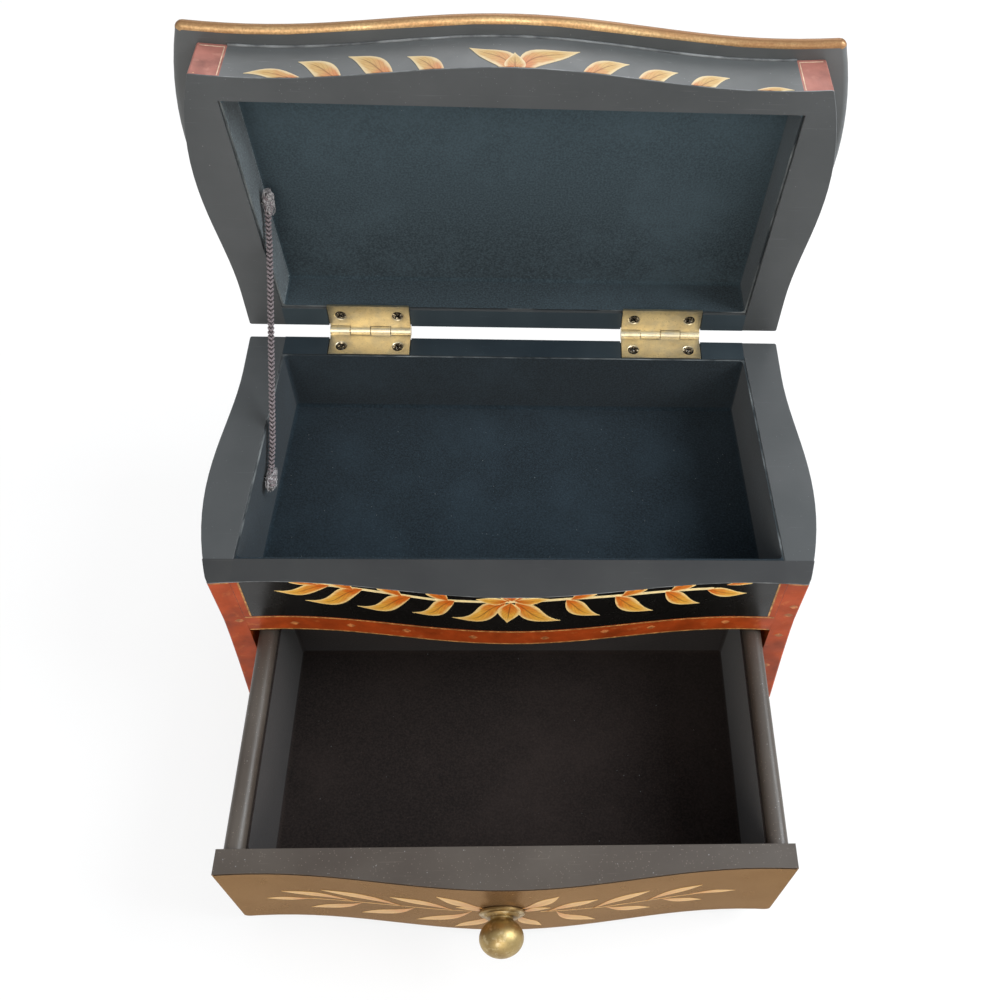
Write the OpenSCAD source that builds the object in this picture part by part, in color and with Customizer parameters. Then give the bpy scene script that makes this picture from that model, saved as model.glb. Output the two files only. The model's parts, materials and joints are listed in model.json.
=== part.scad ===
// Serpentine jewellery chest: a lift-up lid on two butt hinges over a lined tray,
// a cord stay that holds the lid open, and one lined drawer with a ball knob.
// Millimetres, +Z up, the front towards -Y, origin under the middle of the base.
// The lid stands open and the drawer is drawn out, as the chest is shown in use.

/* [Case] */
// Width across the back corners
case_w = 199; // [180:1:230]
// Depth from the back to the front corners
case_d = 105.6; // [98:0.1:125]
// Height of the rim above the table
case_h = 92; // [84:0.5:120]
// How far each side swells past the back corner
side_swell = 4.4; // [2:0.1:8]
// Distance from the back to the widest place of a side
swell_at = 67.5; // [58:0.5:75]
// Length over which a side swells out from its straight back part
swell_run = 52; // [40:1:56]
// Radius of the forward curve of a side
side_front_r = 112; // [90:1:160]
// How far the middle of the front bows out
front_bow = 5.8; // [2:0.1:9]
// Half the wave length of the bowed front
bow_half = 78; // [70:1:90]
// Rounding of the upright corners
corner_r = 0.8; // [0.3:0.1:1.5]

/* [Base] */
// Thickness of the felt under the base
felt_t = 1; // [0.6:0.1:2]
// How far the felt stays in from the walls
felt_in = 1.2; // [0.5:0.1:4]
// Thickness of the base board
base_t = 6; // [4:0.1:8]
// How far the base board stands out past the walls
base_over = 2.8; // [2.6:0.1:6]
// Rounding of the base board's upper and lower edges
base_round = 1.6; // [0.8:0.1:1.8]
// Rounding of the base board's corners in plan, past its rounded edges
base_corner = 1; // [0.5:0.1:2]
// How far a post sweeps out at its foot
foot_flare = 2.4; // [1:0.1:2.6]
// Height over which a post sweeps out
foot_h = 60; // [10:1:70]

/* [Walls and tray] */
// Thickness of the front wall at the corners
front_t = 9.1; // [8.6:0.1:12]
// Thickness of the upper back rail that carries the hinges
back_t = 8.6; // [8.4:0.1:12]
// Thickness of the thin panel behind the drawer
panel_t = 3.2; // [2:0.1:4]
// Width of a corner post on the front
post_w = 7.2; // [6:0.1:9]
// How much a tray wall leans in towards the back
tray_taper = 3.7; // [0.5:0.1:5]
// Thickness of the tray floor
floor_t = 3; // [2:0.1:5]
// Height of the red rail over the drawer
rail_h = 10; // [7:0.1:12]
// Thickness of the flocked linings
lining_t = 0.6; // [0.4:0.1:1]

/* [Lid] */
// Angle to which the cord lets the lid open
lid_open = 90.5; // [80:0.5:95]
// Height of the lid's walls
lid_wall_h = 16.4; // [14:0.1:24]
// Thickness of the lid's top with its half-round edge
lid_top_t = 4; // [3:0.1:8]
// How far the top stands out past the walls
lid_over = 5.9; // [5:0.1:9]
// Rounding of the top's corners in plan, past its half-round edge
lid_corner = 0.6; // [0.4:0.1:2]
// Gap between the closed lid and the rim
lid_gap = 0.4; // [0.2:0.05:0.8]
// How far the lid's back stands behind the back of the case
lid_set_back = 0.9; // [0:0.1:1.5]
// Width of a red corner block of the lid on the front
lid_block_w = 9.4; // [7:0.1:12]

/* [Hinges] */
// Length of a hinge
hinge_l = 30; // [26:0.5:36]
// Distance of each hinge from the middle
hinge_x = 54.8; // [40:0.1:65]
// Thickness of a leaf
leaf_t = 0.9; // [0.6:0.1:1.2]
// Reach of the lower leaf over the back rail
leaf_reach = 8.2; // [7:0.1:8.3]
// Reach of the upper leaf, a little past the lid's back wall
lid_leaf_reach = 9.2; // [8.2:0.1:9.5]
// Radius of the barrel
barrel_r = 2.1; // [1.8:0.05:2.4]
// Radius of the pin
pin_r = 1.2; // [0.8:0.05:1.3]
// Distance of the pin behind the back
axis_out = 3.4; // [3.2:0.1:5]
// Distance between the two screws of a leaf
screw_pitch = 21; // [16:0.5:22]
// Distance of the leaf screws from the back
screw_in = 4.3; // [3:0.1:5]
// Diameter of a leaf screw's head
screw_head = 4.4; // [3.6:0.1:4.8]
// Diameter of a leaf screw's shank
screw_shank = 2; // [1.4:0.1:2.4]
// Length of a leaf screw
screw_l = 9; // [7:0.5:11]

/* [Cord stay] */
// Diameter of the cord
cord_d = 3.2; // [2.4:0.1:3.4]
// Diameter of the anchor screws' heads
stay_head = 4.2; // [3.4:0.1:5]
// Thickness of the anchor screws' heads
stay_head_t = 1.2; // [0.8:0.1:1.6]
// Diameter of the anchor screws' shanks
stay_shank = 1.4; // [1:0.1:1.8]
// How deep the anchor screws go into the wood
stay_grip = 5; // [4:0.5:6]
// Distance of the tray's anchor screw from the back
stay_back = 57.8; // [40:0.1:70]
// Distance of the tray's anchor screw below the rim
stay_down = 9.5; // [6:0.1:15]
// Distance of the lid's anchor screw from the back
lid_stay_back = 49.5; // [40:0.1:70]
// Distance of the lid's anchor screw above the lid's edge
lid_stay_up = 9.2; // [6:0.1:12]

/* [Drawer] */
// How far the drawer is drawn out
drawer_out = 81.1; // [0:0.1:85]
// Height of the drawer front
drawer_front_h = 50.4; // [40:0.1:52]
// Thickness of the drawer front at its ends
drawer_front_t = 8.1; // [7:0.1:10]
// Gap beside the drawer front
drawer_gap = 0.8; // [0.5:0.05:1.5]
// Gap above and below the drawer front
drawer_reveal = 0.6; // [0.4:0.05:1]
// How much narrower the drawer box is than its front, on each side
box_inset = 1.5; // [1.2:0.1:4]
// How much lower the box is than the top of its front
box_drop = 0.6; // [0.2:0.1:3]
// Thickness of the drawer sides
drawer_side_t = 6.6; // [6.5:0.1:8]
// Thickness of the drawer back
drawer_back_t = 6.4; // [5:0.1:8]
// Rounding of the drawer sides' top edges
drawer_side_r = 3; // [1:0.1:3.2]
// Rounding of the drawer front's lower corners
drawer_corner_r = 2; // [1:0.1:4]
// Thickness of the drawer bottom
drawer_bottom_t = 3; // [2:0.1:4]
// Height of the drawer bottom above the lower edge of the sides
drawer_bottom_up = 4.2; // [2:0.1:6]
// Running gap under the drawer sides
run_gap = 0.3; // [0.2:0.05:0.5]
// Running gap beside the drawer box, at its guides
side_play = 0.5; // [0.3:0.05:0.8]
// Gap behind the closed drawer
rear_gap = 0.8; // [0.4:0.1:2]
// Height of the drawer guides
guide_h = 12; // [8:0.5:20]

/* [Knob] */
// Place of the knob across the drawer front, left of the middle below zero
knob_x = -2.4; // [-6:0.1:6]
// Diameter of the ball
ball_d = 14.2; // [10:0.1:18]
// Distance of the ball's middle from the drawer front
ball_out = 9; // [8.6:0.1:14]
// Diameter of the collar
collar_d = 14.6; // [10:0.1:18]
// Thickness of the collar
collar_t = 2.2; // [1.5:0.1:3]
// Diameter of the neck
neck_d = 8; // [6:0.1:9]
// Diameter of the knob's screw
knob_screw_d = 3; // [2:0.1:4]
// Diameter of the knob screw's head
knob_head_d = 6.4; // [5.5:0.1:8]
// Thickness of the knob screw's head
knob_head_t = 2; // [1.2:0.1:2.5]

/* [Hidden] */
$fn = 48;

// Finishes
lacquer = [0.10, 0.10, 0.10];
red_lacquer = [0.62, 0.27, 0.14];
gold_edge = [0.72, 0.52, 0.30];
flock = [0.13, 0.16, 0.18];
brass = [0.75, 0.63, 0.38];
dark_bronze = [0.22, 0.18, 0.14];
cord_grey = [0.42, 0.38, 0.38];
raw_board = [0.55, 0.42, 0.30];

// Steps along the curved outlines
front_steps = 16;
side_steps = 20;
fan_steps = 4;
nose_steps = 8;
foot_steps = 8;
// Fit between a screw or pin and its hole, and between linings and walls
fit = 0.05;
pin_play = 0.04;
lining_gap = 0.1;
stay_gap = 0.4;
mortise_gap = 0.3;
knuckle_gap = 0.25;
knuckles = 4;
// Overlap of cutting shapes past the face that they cut
cut = 1;

y_back = case_d/2;
y_front = -case_d/2;
y_wall = y_front + front_t;
y_tray_back = y_back - back_t;
y_panel = y_back - panel_t;
widest_y = y_back - swell_at;
widest_x = case_w/2 + side_swell;
corner_x = side_x(y_front);
post_in = corner_x - post_w;
tray_back_x = post_in - tray_taper;
block_in = corner_x - lid_block_w;
reach = case_w;

base_z = felt_t;
base_top = felt_t + base_t;
drawer_z = base_top + drawer_reveal;
opening_top = drawer_z + drawer_front_h + drawer_reveal;
rail_top = opening_top + rail_h;
floor_z = opening_top + drawer_reveal;
tray_z = floor_z + floor_t;

lid_z = case_h + lid_gap;
lid_top_z = lid_z + lid_wall_h;
axis_y = y_back + axis_out;
axis_z = case_h + lid_gap/2;
screw_head_h = (screw_head - screw_shank)/2;
knuckle_l = (hinge_l - (knuckles - 1)*knuckle_gap)/knuckles;

front_half = post_in - drawer_gap;
box_half = front_half - box_inset;
box_in = box_half - drawer_side_t;
box_z = base_top + run_gap;
box_top = drawer_z + drawer_front_h - box_drop;
box_front = y_front + drawer_front_t;
box_rear = y_panel - rear_gap;
box_back_in = box_rear - drawer_back_t;
bottom_z = box_z + drawer_bottom_up;
bottom_top = bottom_z + drawer_bottom_t;
guide_t = post_in - box_half - side_play;
guide_end = 4;

knob_y = front_y(0);
knob_z = drawer_z + drawer_front_h/2;
knob_bore_l = ball_out;
knob_head_sink = knob_head_t + 0.2;

// Route of the cord stay from its end in the tray to its end in the lid
cord_sides = 8;
cord_route = [[-85.7, -9, 82], [-85.7, -5, 82.5], [-85.5, 0, 84.5], [-85.1, 8, 91],
              [-85, 20, 102], [-85, 32, 112.5], [-85, 44, 123], [-85, 54, 132],
              [-85.1, 59.5, 137.5], [-85.2, 63.2, 141.3], [-85.3, 66, 145], [-85.3, 67.5, 148.5]];
// Anchor screws through the cord's ends, on the left walls of the tray and the lid
tray_anchor = [-stay_x(y_back - stay_back, 0), y_back - stay_back, case_h - stay_down];
lid_anchor = swing([-stay_x(y_back - lid_stay_back, lid_set_back), y_back - lid_stay_back,
                    lid_z + lid_stay_up]);

// Half width of the case at a depth: straight, swelling in a wave, then a forward arc
function side_x(y) =
    y < widest_y
        ? widest_x - side_front_r + sqrt(side_front_r^2 - (widest_y - y)^2)
        : case_w/2 + side_swell*(1 + cos(180*min((y - widest_y)/swell_run, 1)))/2;

// Bow of the front, and the front face that reaches the corners at the case's depth
function bow(x) = front_bow*(1 + cos(180*x/bow_half))/2;
function front_y(x) = y_front + bow(corner_x) - bow(x);

// Inner face of a tray wall at a depth, on a tray whose back is set back
function tray_x(y, set) = post_in - tray_taper*(y - y_wall)/(y_tray_back + set - y_wall);

// Place of the cord's middle line beside the lining of that wall
function stay_x(y, set) = tray_x(y, set) - lining_gap - lining_t - stay_gap - cord_d/2;

// Place of a point of the closed lid when the lid is open
function swing(p) =
    let (dy = p[1] - axis_y, dz = p[2] - axis_z)
    [p[0], axis_y + dy*cos(lid_open) + dz*sin(lid_open),
     axis_z - dy*sin(lid_open) + dz*cos(lid_open)];

// Right half of the plan outline, standing out by grow, with its corners turned about
// points that stand out by core, and its back set back
function half_plan(grow, core, set) =
    let (r = grow - core, bx = case_w/2 + core)
    concat(
        [for (i = [0:front_steps])
            let (x = corner_x*i/front_steps) [x*(corner_x + core)/corner_x, front_y(x) - grow]],
        [for (k = [1:fan_steps - 1])
            let (a = 90*k/fan_steps) [corner_x + core + r*sin(a), y_front - core - r*cos(a)]],
        [for (j = [0:side_steps])
            let (y = y_front + case_d*j/side_steps)
            [side_x(y) + grow, y*(case_d + 2*core)/case_d + set*j/side_steps]],
        [for (k = [1:fan_steps])
            let (a = 90*k/fan_steps) [bx + r*cos(a), y_back + set + core + r*sin(a)]]);

// Whole plan outline, counter-clockwise from the middle of the front
function plan(grow, core, set) =
    let (h = half_plan(grow, core, set))
    concat(h, [for (i = [len(h) - 1:-1:1]) [-h[i][0], h[i][1]]]);

// Outline of a corner post whose outer faces stand out by grow
function post_plan(grow) =
    let (core = grow - corner_r)
    concat(
        [[post_in, y_wall]],
        [for (i = [0:3])
            let (x = post_in + (corner_x + core - post_in)*i/3) [x, front_y(x) - grow]],
        [for (k = [1:fan_steps])
            let (a = 90*k/fan_steps)
            [corner_x + core + corner_r*sin(a), y_front - core - corner_r*cos(a)]],
        [for (j = [1:4])
            let (y = y_front + front_t*j/4) [side_x(y) + grow, y]]);

function at_height(points, z) = [for (p = points) [p[0], p[1], z]];

// Cross product frame of a tube: a ring round a point, square to a direction
function unit(v) = v/norm(v);
function ring(p, dir, r, n) =
    let (d = unit(dir), s = unit(cross(d, [1, 0, 0])), t = cross(s, d))
    [for (i = [0:n - 1]) let (a = 360*(i + 0.5)/n) p + r*(cos(a)*t + sin(a)*s)];
function tube_rings(route, r, n) =
    let (last = len(route) - 1)
    [for (i = [0:last])
        ring(route[i], route[min(i + 1, last)] - route[max(i - 1, 0)], r, n)];

// Middle of the box round some points
function middle(points) =
    [for (k = [0:2]) let (places = [for (p = points) p[k]]) (min(places) + max(places))/2];

// Closed solid through a stack of rings with equal counts of points, its ends filled from their middles
module loft(rings) {
    n = len(rings[0]);
    m = len(rings);
    last = (m - 1)*n;
    low = m*n;
    high = low + 1;
    polyhedron(
        points = concat([for (r = rings) each r], [middle(rings[0]), middle(rings[m - 1])]),
        faces = concat(
            [for (i = [0:n - 1]) [i, (i + 1)%n, low]],
            [for (i = [0:n - 1]) [last + (i + 1)%n, last + i, high]],
            [for (k = [0:m - 2], i = [0:n - 1])
                [k*n + i, (k + 1)*n + i, (k + 1)*n + (i + 1)%n]],
            [for (k = [0:m - 2], i = [0:n - 1])
                [k*n + i, (k + 1)*n + (i + 1)%n, k*n + (i + 1)%n]]));
}

// Board in the plan of the case with edges of radius r all round, half-round when r is half of t
module nosed_board(z, t, over, corner, set, r) {
    core = over - r - corner;
    half = nose_steps/2;
    upper = r < t/2 ? half : half + 1;
    loft(concat(
        [for (s = [0:half]) nose_ring(z + r, s, over, core, set, r)],
        [for (s = [upper:nose_steps]) nose_ring(z + t - r, s, over, core, set, r)]));
}

// One outline of a rounded edge whose arc turns about a height
function nose_ring(z, step, over, core, set, r) =
    let (a = -90 + 180*step/nose_steps)
    at_height(plan(over - r + r*cos(a), core, set), z + r*sin(a));

module case_plan(set) {
    polygon(plan(0, -corner_r, set));
}

// Part of the plan between two widths and two depths
module plan_part(x0, x1, y0, y1) {
    intersection() {
        case_plan(0);
        translate([x0, y0]) square([x1 - x0, y1 - y0]);
    }
}

// Plan of the right side beside the tray, with its leaning inner face
module leaning_side_plan(set) {
    intersection() {
        case_plan(set);
        polygon([[post_in, y_wall], [reach, y_wall], [reach, y_back + set],
                 [tray_back_x, y_back + set], [tray_back_x, y_tray_back + set]]);
    }
}

// Tray outline drawn in by inset
module tray_plan(inset, set) {
    x0 = post_in - inset;
    x1 = tray_back_x - inset;
    y0 = y_wall + inset;
    y1 = y_tray_back + set - inset;
    polygon([[-x0, y0], [x0, y0], [x1, y1], [-x1, y1]]);
}

// Everything on the lid is placed closed and swung open about the hinge pins
module swung_open() {
    translate([0, axis_y, axis_z])
        rotate([-lid_open, 0, 0])
            translate([0, -axis_y, -axis_z]) children();
}

module drawn_out() {
    translate([0, -drawer_out, 0]) children();
}

module along_x(p) {
    translate(p) rotate([0, 90, 0]) children();
}

// Base
module base_felt() {
    color(flock) linear_extrude(felt_t) polygon(plan(-felt_in, -felt_in - corner_r, 0));
}

module base_board() {
    color(gold_edge) nosed_board(base_z, base_t, base_over, base_corner, 0, base_round);
}

// Walls
module side_right_solid() {
    translate([0, 0, base_top]) linear_extrude(tray_z - base_top)
        plan_part(post_in, reach, y_wall, y_back);
    translate([0, 0, tray_z]) linear_extrude(case_h - tray_z) leaning_side_plan(0);
}

module side_right() {
    color(lacquer) side_right_solid();
}

module side_left() {
    color(lacquer) difference() {
        mirror([1, 0, 0]) side_right_solid();
        stay_hole(tray_anchor);
    }
}

module post_solid() {
    loft(concat(
        [for (s = [0:foot_steps])
            at_height(post_plan(foot_flare*(1 - s/foot_steps)^1.2), base_top + foot_h*s/foot_steps)],
        [at_height(post_plan(0), case_h)]));
}

module post_right() {
    color(red_lacquer) post_solid();
}

module post_left() {
    color(red_lacquer) mirror([1, 0, 0]) post_solid();
}

module front_wall_plan() {
    plan_part(-post_in, post_in, -reach, y_wall);
}

module front_frieze() {
    color(lacquer) translate([0, 0, rail_top]) linear_extrude(case_h - rail_top) front_wall_plan();
}

module drawer_rail() {
    color(red_lacquer) translate([0, 0, opening_top]) linear_extrude(rail_h) front_wall_plan();
}

module back_rail() {
    color(lacquer) difference() {
        translate([-tray_back_x, y_tray_back, tray_z])
            cube([2*tray_back_x, back_t, case_h - tray_z]);
        for (s = [-1, 1]) translate([s*hinge_x, 0, 0]) {
            mortise(leaf_reach);
            leaf_screws(fit);
        }
    }
}

module back_panel() {
    color(raw_board) translate([-post_in, y_panel, base_top])
        cube([2*post_in, panel_t, floor_z - base_top]);
}

module tray_floor() {
    color(raw_board) translate([-post_in, y_wall, floor_z])
        cube([2*post_in, y_back - y_wall, floor_t]);
}

module tray_lining() {
    color(flock) difference() {
        translate([0, 0, tray_z]) linear_extrude(case_h - tray_z - lining_gap) tray_plan(lining_gap, 0);
        translate([0, 0, tray_z + lining_t]) linear_extrude(case_h) tray_plan(lining_gap + lining_t, 0);
        stay_hole(tray_anchor);
    }
}

module drawer_guide_solid() {
    translate([post_in - guide_t, y_wall + guide_end, base_top])
        cube([guide_t, y_panel - y_wall - 2*guide_end, guide_h]);
}

module drawer_guide_right() {
    color(raw_board) drawer_guide_solid();
}

module drawer_guide_left() {
    color(raw_board) mirror([1, 0, 0]) drawer_guide_solid();
}

// Lid
module lid_top() {
    color(gold_edge) swung_open()
        nosed_board(lid_top_z, lid_top_t, lid_over, lid_corner, lid_set_back, lid_top_t/2);
}

module lid_wall() {
    translate([0, 0, lid_z]) linear_extrude(lid_wall_h) children();
}

module lid_front() {
    color(lacquer) swung_open() lid_wall() plan_part(-block_in, block_in, -reach, y_wall);
}

module lid_block_right() {
    color(red_lacquer) swung_open() lid_wall() plan_part(block_in, reach, -reach, y_wall);
}

module lid_block_left() {
    color(red_lacquer) swung_open() lid_wall() plan_part(-reach, -block_in, -reach, y_wall);
}

module lid_side_right() {
    color(lacquer) swung_open() lid_wall() leaning_side_plan(lid_set_back);
}

module lid_side_left() {
    color(lacquer) difference() {
        swung_open() lid_wall() mirror([1, 0, 0]) leaning_side_plan(lid_set_back);
        stay_hole(lid_anchor);
    }
}

module lid_back() {
    color(lacquer) swung_open() difference() {
        translate([-tray_back_x, y_tray_back + lid_set_back, lid_z])
            cube([2*tray_back_x, back_t, lid_wall_h]);
        for (s = [-1, 1]) translate([s*hinge_x, 0, 0]) over_to_lid() {
            mortise(lid_leaf_reach);
            leaf_screws(fit);
        }
    }
}

module lid_lining() {
    color(flock) difference() {
        swung_open() difference() {
            translate([0, 0, lid_z + lining_gap]) linear_extrude(lid_wall_h - lining_gap)
                tray_plan(lining_gap, lid_set_back);
            translate([0, 0, lid_z - cut]) linear_extrude(lid_wall_h - lining_t + cut)
                tray_plan(lining_gap + lining_t, lid_set_back);
            for (s = [-1, 1]) translate([s*hinge_x, 0, 0]) over_to_lid() mortise(lid_leaf_reach);
        }
        stay_hole(lid_anchor);
    }
}

// Hinges, drawn on the rim at the middle and moved to their places
module over_to_lid() {
    translate([0, 0, 2*axis_z]) mirror([0, 0, 1]) children();
}

module mortise(reach_in) {
    translate([-hinge_l/2 - mortise_gap, y_back - reach_in - mortise_gap, case_h - leaf_t])
        cube([hinge_l + 2*mortise_gap, reach_in + mortise_gap + axis_out, leaf_t + cut]);
}

module leaf_screw(grow) {
    translate([0, 0, -screw_head_h])
        cylinder(h = screw_head_h, d1 = screw_shank + 2*grow, d2 = screw_head + 2*grow);
    translate([0, 0, -screw_l - grow]) cylinder(h = screw_l, d = screw_shank + 2*grow);
}

module leaf_screws(grow) {
    for (s = [-1, 1])
        translate([s*screw_pitch/2, y_back - screw_in, case_h]) leaf_screw(grow);
}

function knuckle_x(i) = -hinge_l/2 + i*(knuckle_l + knuckle_gap);

// One leaf with the knuckles numbered from first in steps of two
module leaf(first, reach_in) {
    edge = axis_y - barrel_r - knuckle_gap;
    difference() {
        union() {
            translate([-hinge_l/2, y_back - reach_in, case_h - leaf_t])
                cube([hinge_l, edge - y_back + reach_in, leaf_t]);
            for (i = [first:2:knuckles - 1]) {
                along_x([knuckle_x(i), axis_y, axis_z]) cylinder(h = knuckle_l, r = barrel_r);
                translate([knuckle_x(i), edge - cut, case_h - leaf_t])
                    cube([knuckle_l, axis_y - edge + cut, leaf_t]);
            }
        }
        along_x([-hinge_l, axis_y, axis_z]) cylinder(h = 2*hinge_l, r = pin_r + pin_play);
        leaf_screws(fit);
    }
}

module hinge_case_leaf_left() {
    color(brass) translate([-hinge_x, 0, 0]) leaf(0, leaf_reach);
}

module hinge_case_leaf_right() {
    color(brass) translate([hinge_x, 0, 0]) leaf(0, leaf_reach);
}

module hinge_lid_leaf_left() {
    color(brass) swung_open() translate([-hinge_x, 0, 0]) over_to_lid() leaf(1, lid_leaf_reach);
}

module hinge_lid_leaf_right() {
    color(brass) swung_open() translate([hinge_x, 0, 0]) over_to_lid() leaf(1, lid_leaf_reach);
}

module hinge_pin(x) {
    color(brass) along_x([x - hinge_l/2, axis_y, axis_z]) cylinder(h = hinge_l, r = pin_r);
}

module hinge_pin_left() {
    hinge_pin(-hinge_x);
}

module hinge_pin_right() {
    hinge_pin(hinge_x);
}

module hinge_case_screws() {
    color(dark_bronze) for (s = [-1, 1]) translate([s*hinge_x, 0, 0]) leaf_screws(0);
}

module hinge_lid_screws() {
    color(dark_bronze) swung_open()
        for (s = [-1, 1]) translate([s*hinge_x, 0, 0]) over_to_lid() leaf_screws(0);
}

// Cord stay
module stay_cord() {
    color(cord_grey) difference() {
        loft(tube_rings(cord_route, cord_d/2, cord_sides));
        stay_hole(tray_anchor);
        stay_hole(lid_anchor);
    }
}

// Hole along X for an anchor screw, from the cord outwards into the left wall
module stay_hole(p) {
    l = post_in + p[0] + stay_grip + cord_d;
    along_x([p[0] + cord_d - l, p[1], p[2]]) cylinder(h = l, d = stay_shank + 2*fit);
}

module stay_screw(p) {
    l = post_in + p[0] + stay_grip - fit;
    color(dark_bronze) along_x([p[0] + cord_d/2, p[1], p[2]]) {
        cylinder(h = stay_head_t, d = stay_head);
        translate([0, 0, -l]) cylinder(h = l, d = stay_shank);
    }
}

module stay_screw_case() {
    stay_screw(tray_anchor);
}

module stay_screw_lid() {
    stay_screw(lid_anchor);
}

// Drawer
module drawer_front() {
    color(lacquer) drawn_out() difference() {
        intersection() {
            translate([0, 0, drawer_z]) linear_extrude(drawer_front_h)
                plan_part(-front_half, front_half, -reach, box_front);
            translate([0, reach/2, drawer_z]) rotate([90, 0, 0]) linear_extrude(reach) {
                translate([-front_half, drawer_corner_r])
                    square([2*front_half, drawer_front_h - drawer_corner_r]);
                translate([drawer_corner_r - front_half, 0])
                    square([2*(front_half - drawer_corner_r), drawer_front_h]);
                for (s = [-1, 1])
                    translate([s*(front_half - drawer_corner_r), drawer_corner_r])
                        circle(r = drawer_corner_r);
            }
        }
        knob_screw_solid(fit, cut);
    }
}

module drawer_side_solid() {
    h = box_top - box_z;
    translate([box_in, box_rear, box_z]) rotate([90, 0, 0]) linear_extrude(box_rear - box_front) {
        square([drawer_side_t, h - drawer_side_r]);
        translate([drawer_side_r, 0]) square([drawer_side_t - 2*drawer_side_r, h]);
        for (x = [drawer_side_r, drawer_side_t - drawer_side_r])
            translate([x, h - drawer_side_r]) circle(r = drawer_side_r);
    }
}

module drawer_side_right() {
    color(lacquer) drawn_out() drawer_side_solid();
}

module drawer_side_left() {
    color(lacquer) drawn_out() mirror([1, 0, 0]) drawer_side_solid();
}

module drawer_back() {
    color(lacquer) drawn_out() translate([-box_in, box_back_in, box_z])
        cube([2*box_in, drawer_back_t, box_top - box_z - drawer_side_r]);
}

module drawer_bottom() {
    color(raw_board) drawn_out() translate([-box_in, box_front, bottom_z])
        cube([2*box_in, box_back_in - box_front, drawer_bottom_t]);
}

module drawer_lining() {
    x = box_in - lining_gap;
    y0 = box_front + lining_gap;
    d = box_back_in - box_front - 2*lining_gap;
    h = box_top - drawer_side_r - lining_gap - bottom_top;
    color(flock) drawn_out() translate([0, 0, bottom_top]) difference() {
        translate([-x, y0, 0]) cube([2*x, d, h]);
        translate([lining_t - x, y0 + lining_t, lining_t])
            cube([2*(x - lining_t), d - 2*lining_t, h]);
    }
}

// Knob, turned about an axis that points out of the drawer front
module knob_frame() {
    translate([knob_x, knob_y, knob_z]) rotate([90, 0, 0]) children();
}

module knob() {
    color(brass) drawn_out() knob_frame() difference() {
        union() {
            translate([0, 0, ball_out]) sphere(d = ball_d);
            translate([0, 0, collar_t]) cylinder(h = ball_out - collar_t, d = neck_d);
        }
        translate([0, 0, -cut]) cylinder(h = collar_t + cut, d = collar_d + ball_d);
        cylinder(h = knob_bore_l, d = knob_screw_d + 2*fit);
    }
}

module knob_collar() {
    lip = collar_t/4;
    color(brass) drawn_out() knob_frame() difference() {
        rotate_extrude() polygon([[0, 0], [collar_d/2 - lip, 0], [collar_d/2, lip],
                                  [collar_d/2, collar_t - lip], [collar_d/2 - lip, collar_t],
                                  [0, collar_t]]);
        translate([0, 0, -cut]) cylinder(h = collar_t + 2*cut, d = knob_screw_d + 2*fit);
    }
}

// Screw from behind, its head sunk in the drawer front; past is how far a cut runs out behind
module knob_screw_solid(grow, past) {
    seat = knob_y - box_front + knob_head_sink;
    knob_frame() {
        translate([0, 0, seat]) cylinder(h = knob_bore_l - seat - 2*fit, d = knob_screw_d + 2*grow);
        translate([0, 0, seat - knob_head_t - past])
            cylinder(h = knob_head_t + past, d = knob_head_d + 2*grow);
    }
}

module knob_screw() {
    color(dark_bronze) drawn_out() knob_screw_solid(0, 0);
}

base_felt();
base_board();
side_left();
side_right();
post_left();
post_right();
front_frieze();
drawer_rail();
back_rail();
back_panel();
tray_floor();
tray_lining();
drawer_guide_left();
drawer_guide_right();
lid_top();
lid_front();
lid_side_left();
lid_side_right();
lid_back();
lid_block_left();
lid_block_right();
lid_lining();
hinge_case_leaf_left();
hinge_case_leaf_right();
hinge_lid_leaf_left();
hinge_lid_leaf_right();
hinge_pin_left();
hinge_pin_right();
hinge_case_screws();
hinge_lid_screws();
stay_cord();
stay_screw_case();
stay_screw_lid();
drawer_front();
drawer_side_left();
drawer_side_right();
drawer_back();
drawer_bottom();
drawer_lining();
knob();
knob_collar();
knob_screw();
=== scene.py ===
import json
import math
import random

import bmesh
import bpy
from bpy.props import FloatProperty, FloatVectorProperty, IntProperty, PointerProperty
from mathutils import Matrix, Vector


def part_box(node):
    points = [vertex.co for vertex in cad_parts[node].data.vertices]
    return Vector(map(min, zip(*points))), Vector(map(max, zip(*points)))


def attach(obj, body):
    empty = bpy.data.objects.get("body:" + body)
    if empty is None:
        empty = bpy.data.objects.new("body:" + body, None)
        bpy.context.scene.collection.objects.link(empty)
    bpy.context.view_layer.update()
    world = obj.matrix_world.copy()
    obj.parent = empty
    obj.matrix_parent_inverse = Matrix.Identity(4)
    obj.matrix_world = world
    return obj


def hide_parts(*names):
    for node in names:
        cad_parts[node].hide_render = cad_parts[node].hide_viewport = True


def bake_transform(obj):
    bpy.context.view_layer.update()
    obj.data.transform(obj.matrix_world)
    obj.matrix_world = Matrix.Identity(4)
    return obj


bl_info = {
    "name": "Serpentine Jewellery Chest",
    "version": (1, 0, 0),
    "blender": (4, 5, 0),
    "location": "View3D > Sidebar > Chest",
    "description": "Finishes a lacquered jewellery chest with a lined tray and drawer and painted vines",
    "category": "Object",
}

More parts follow.
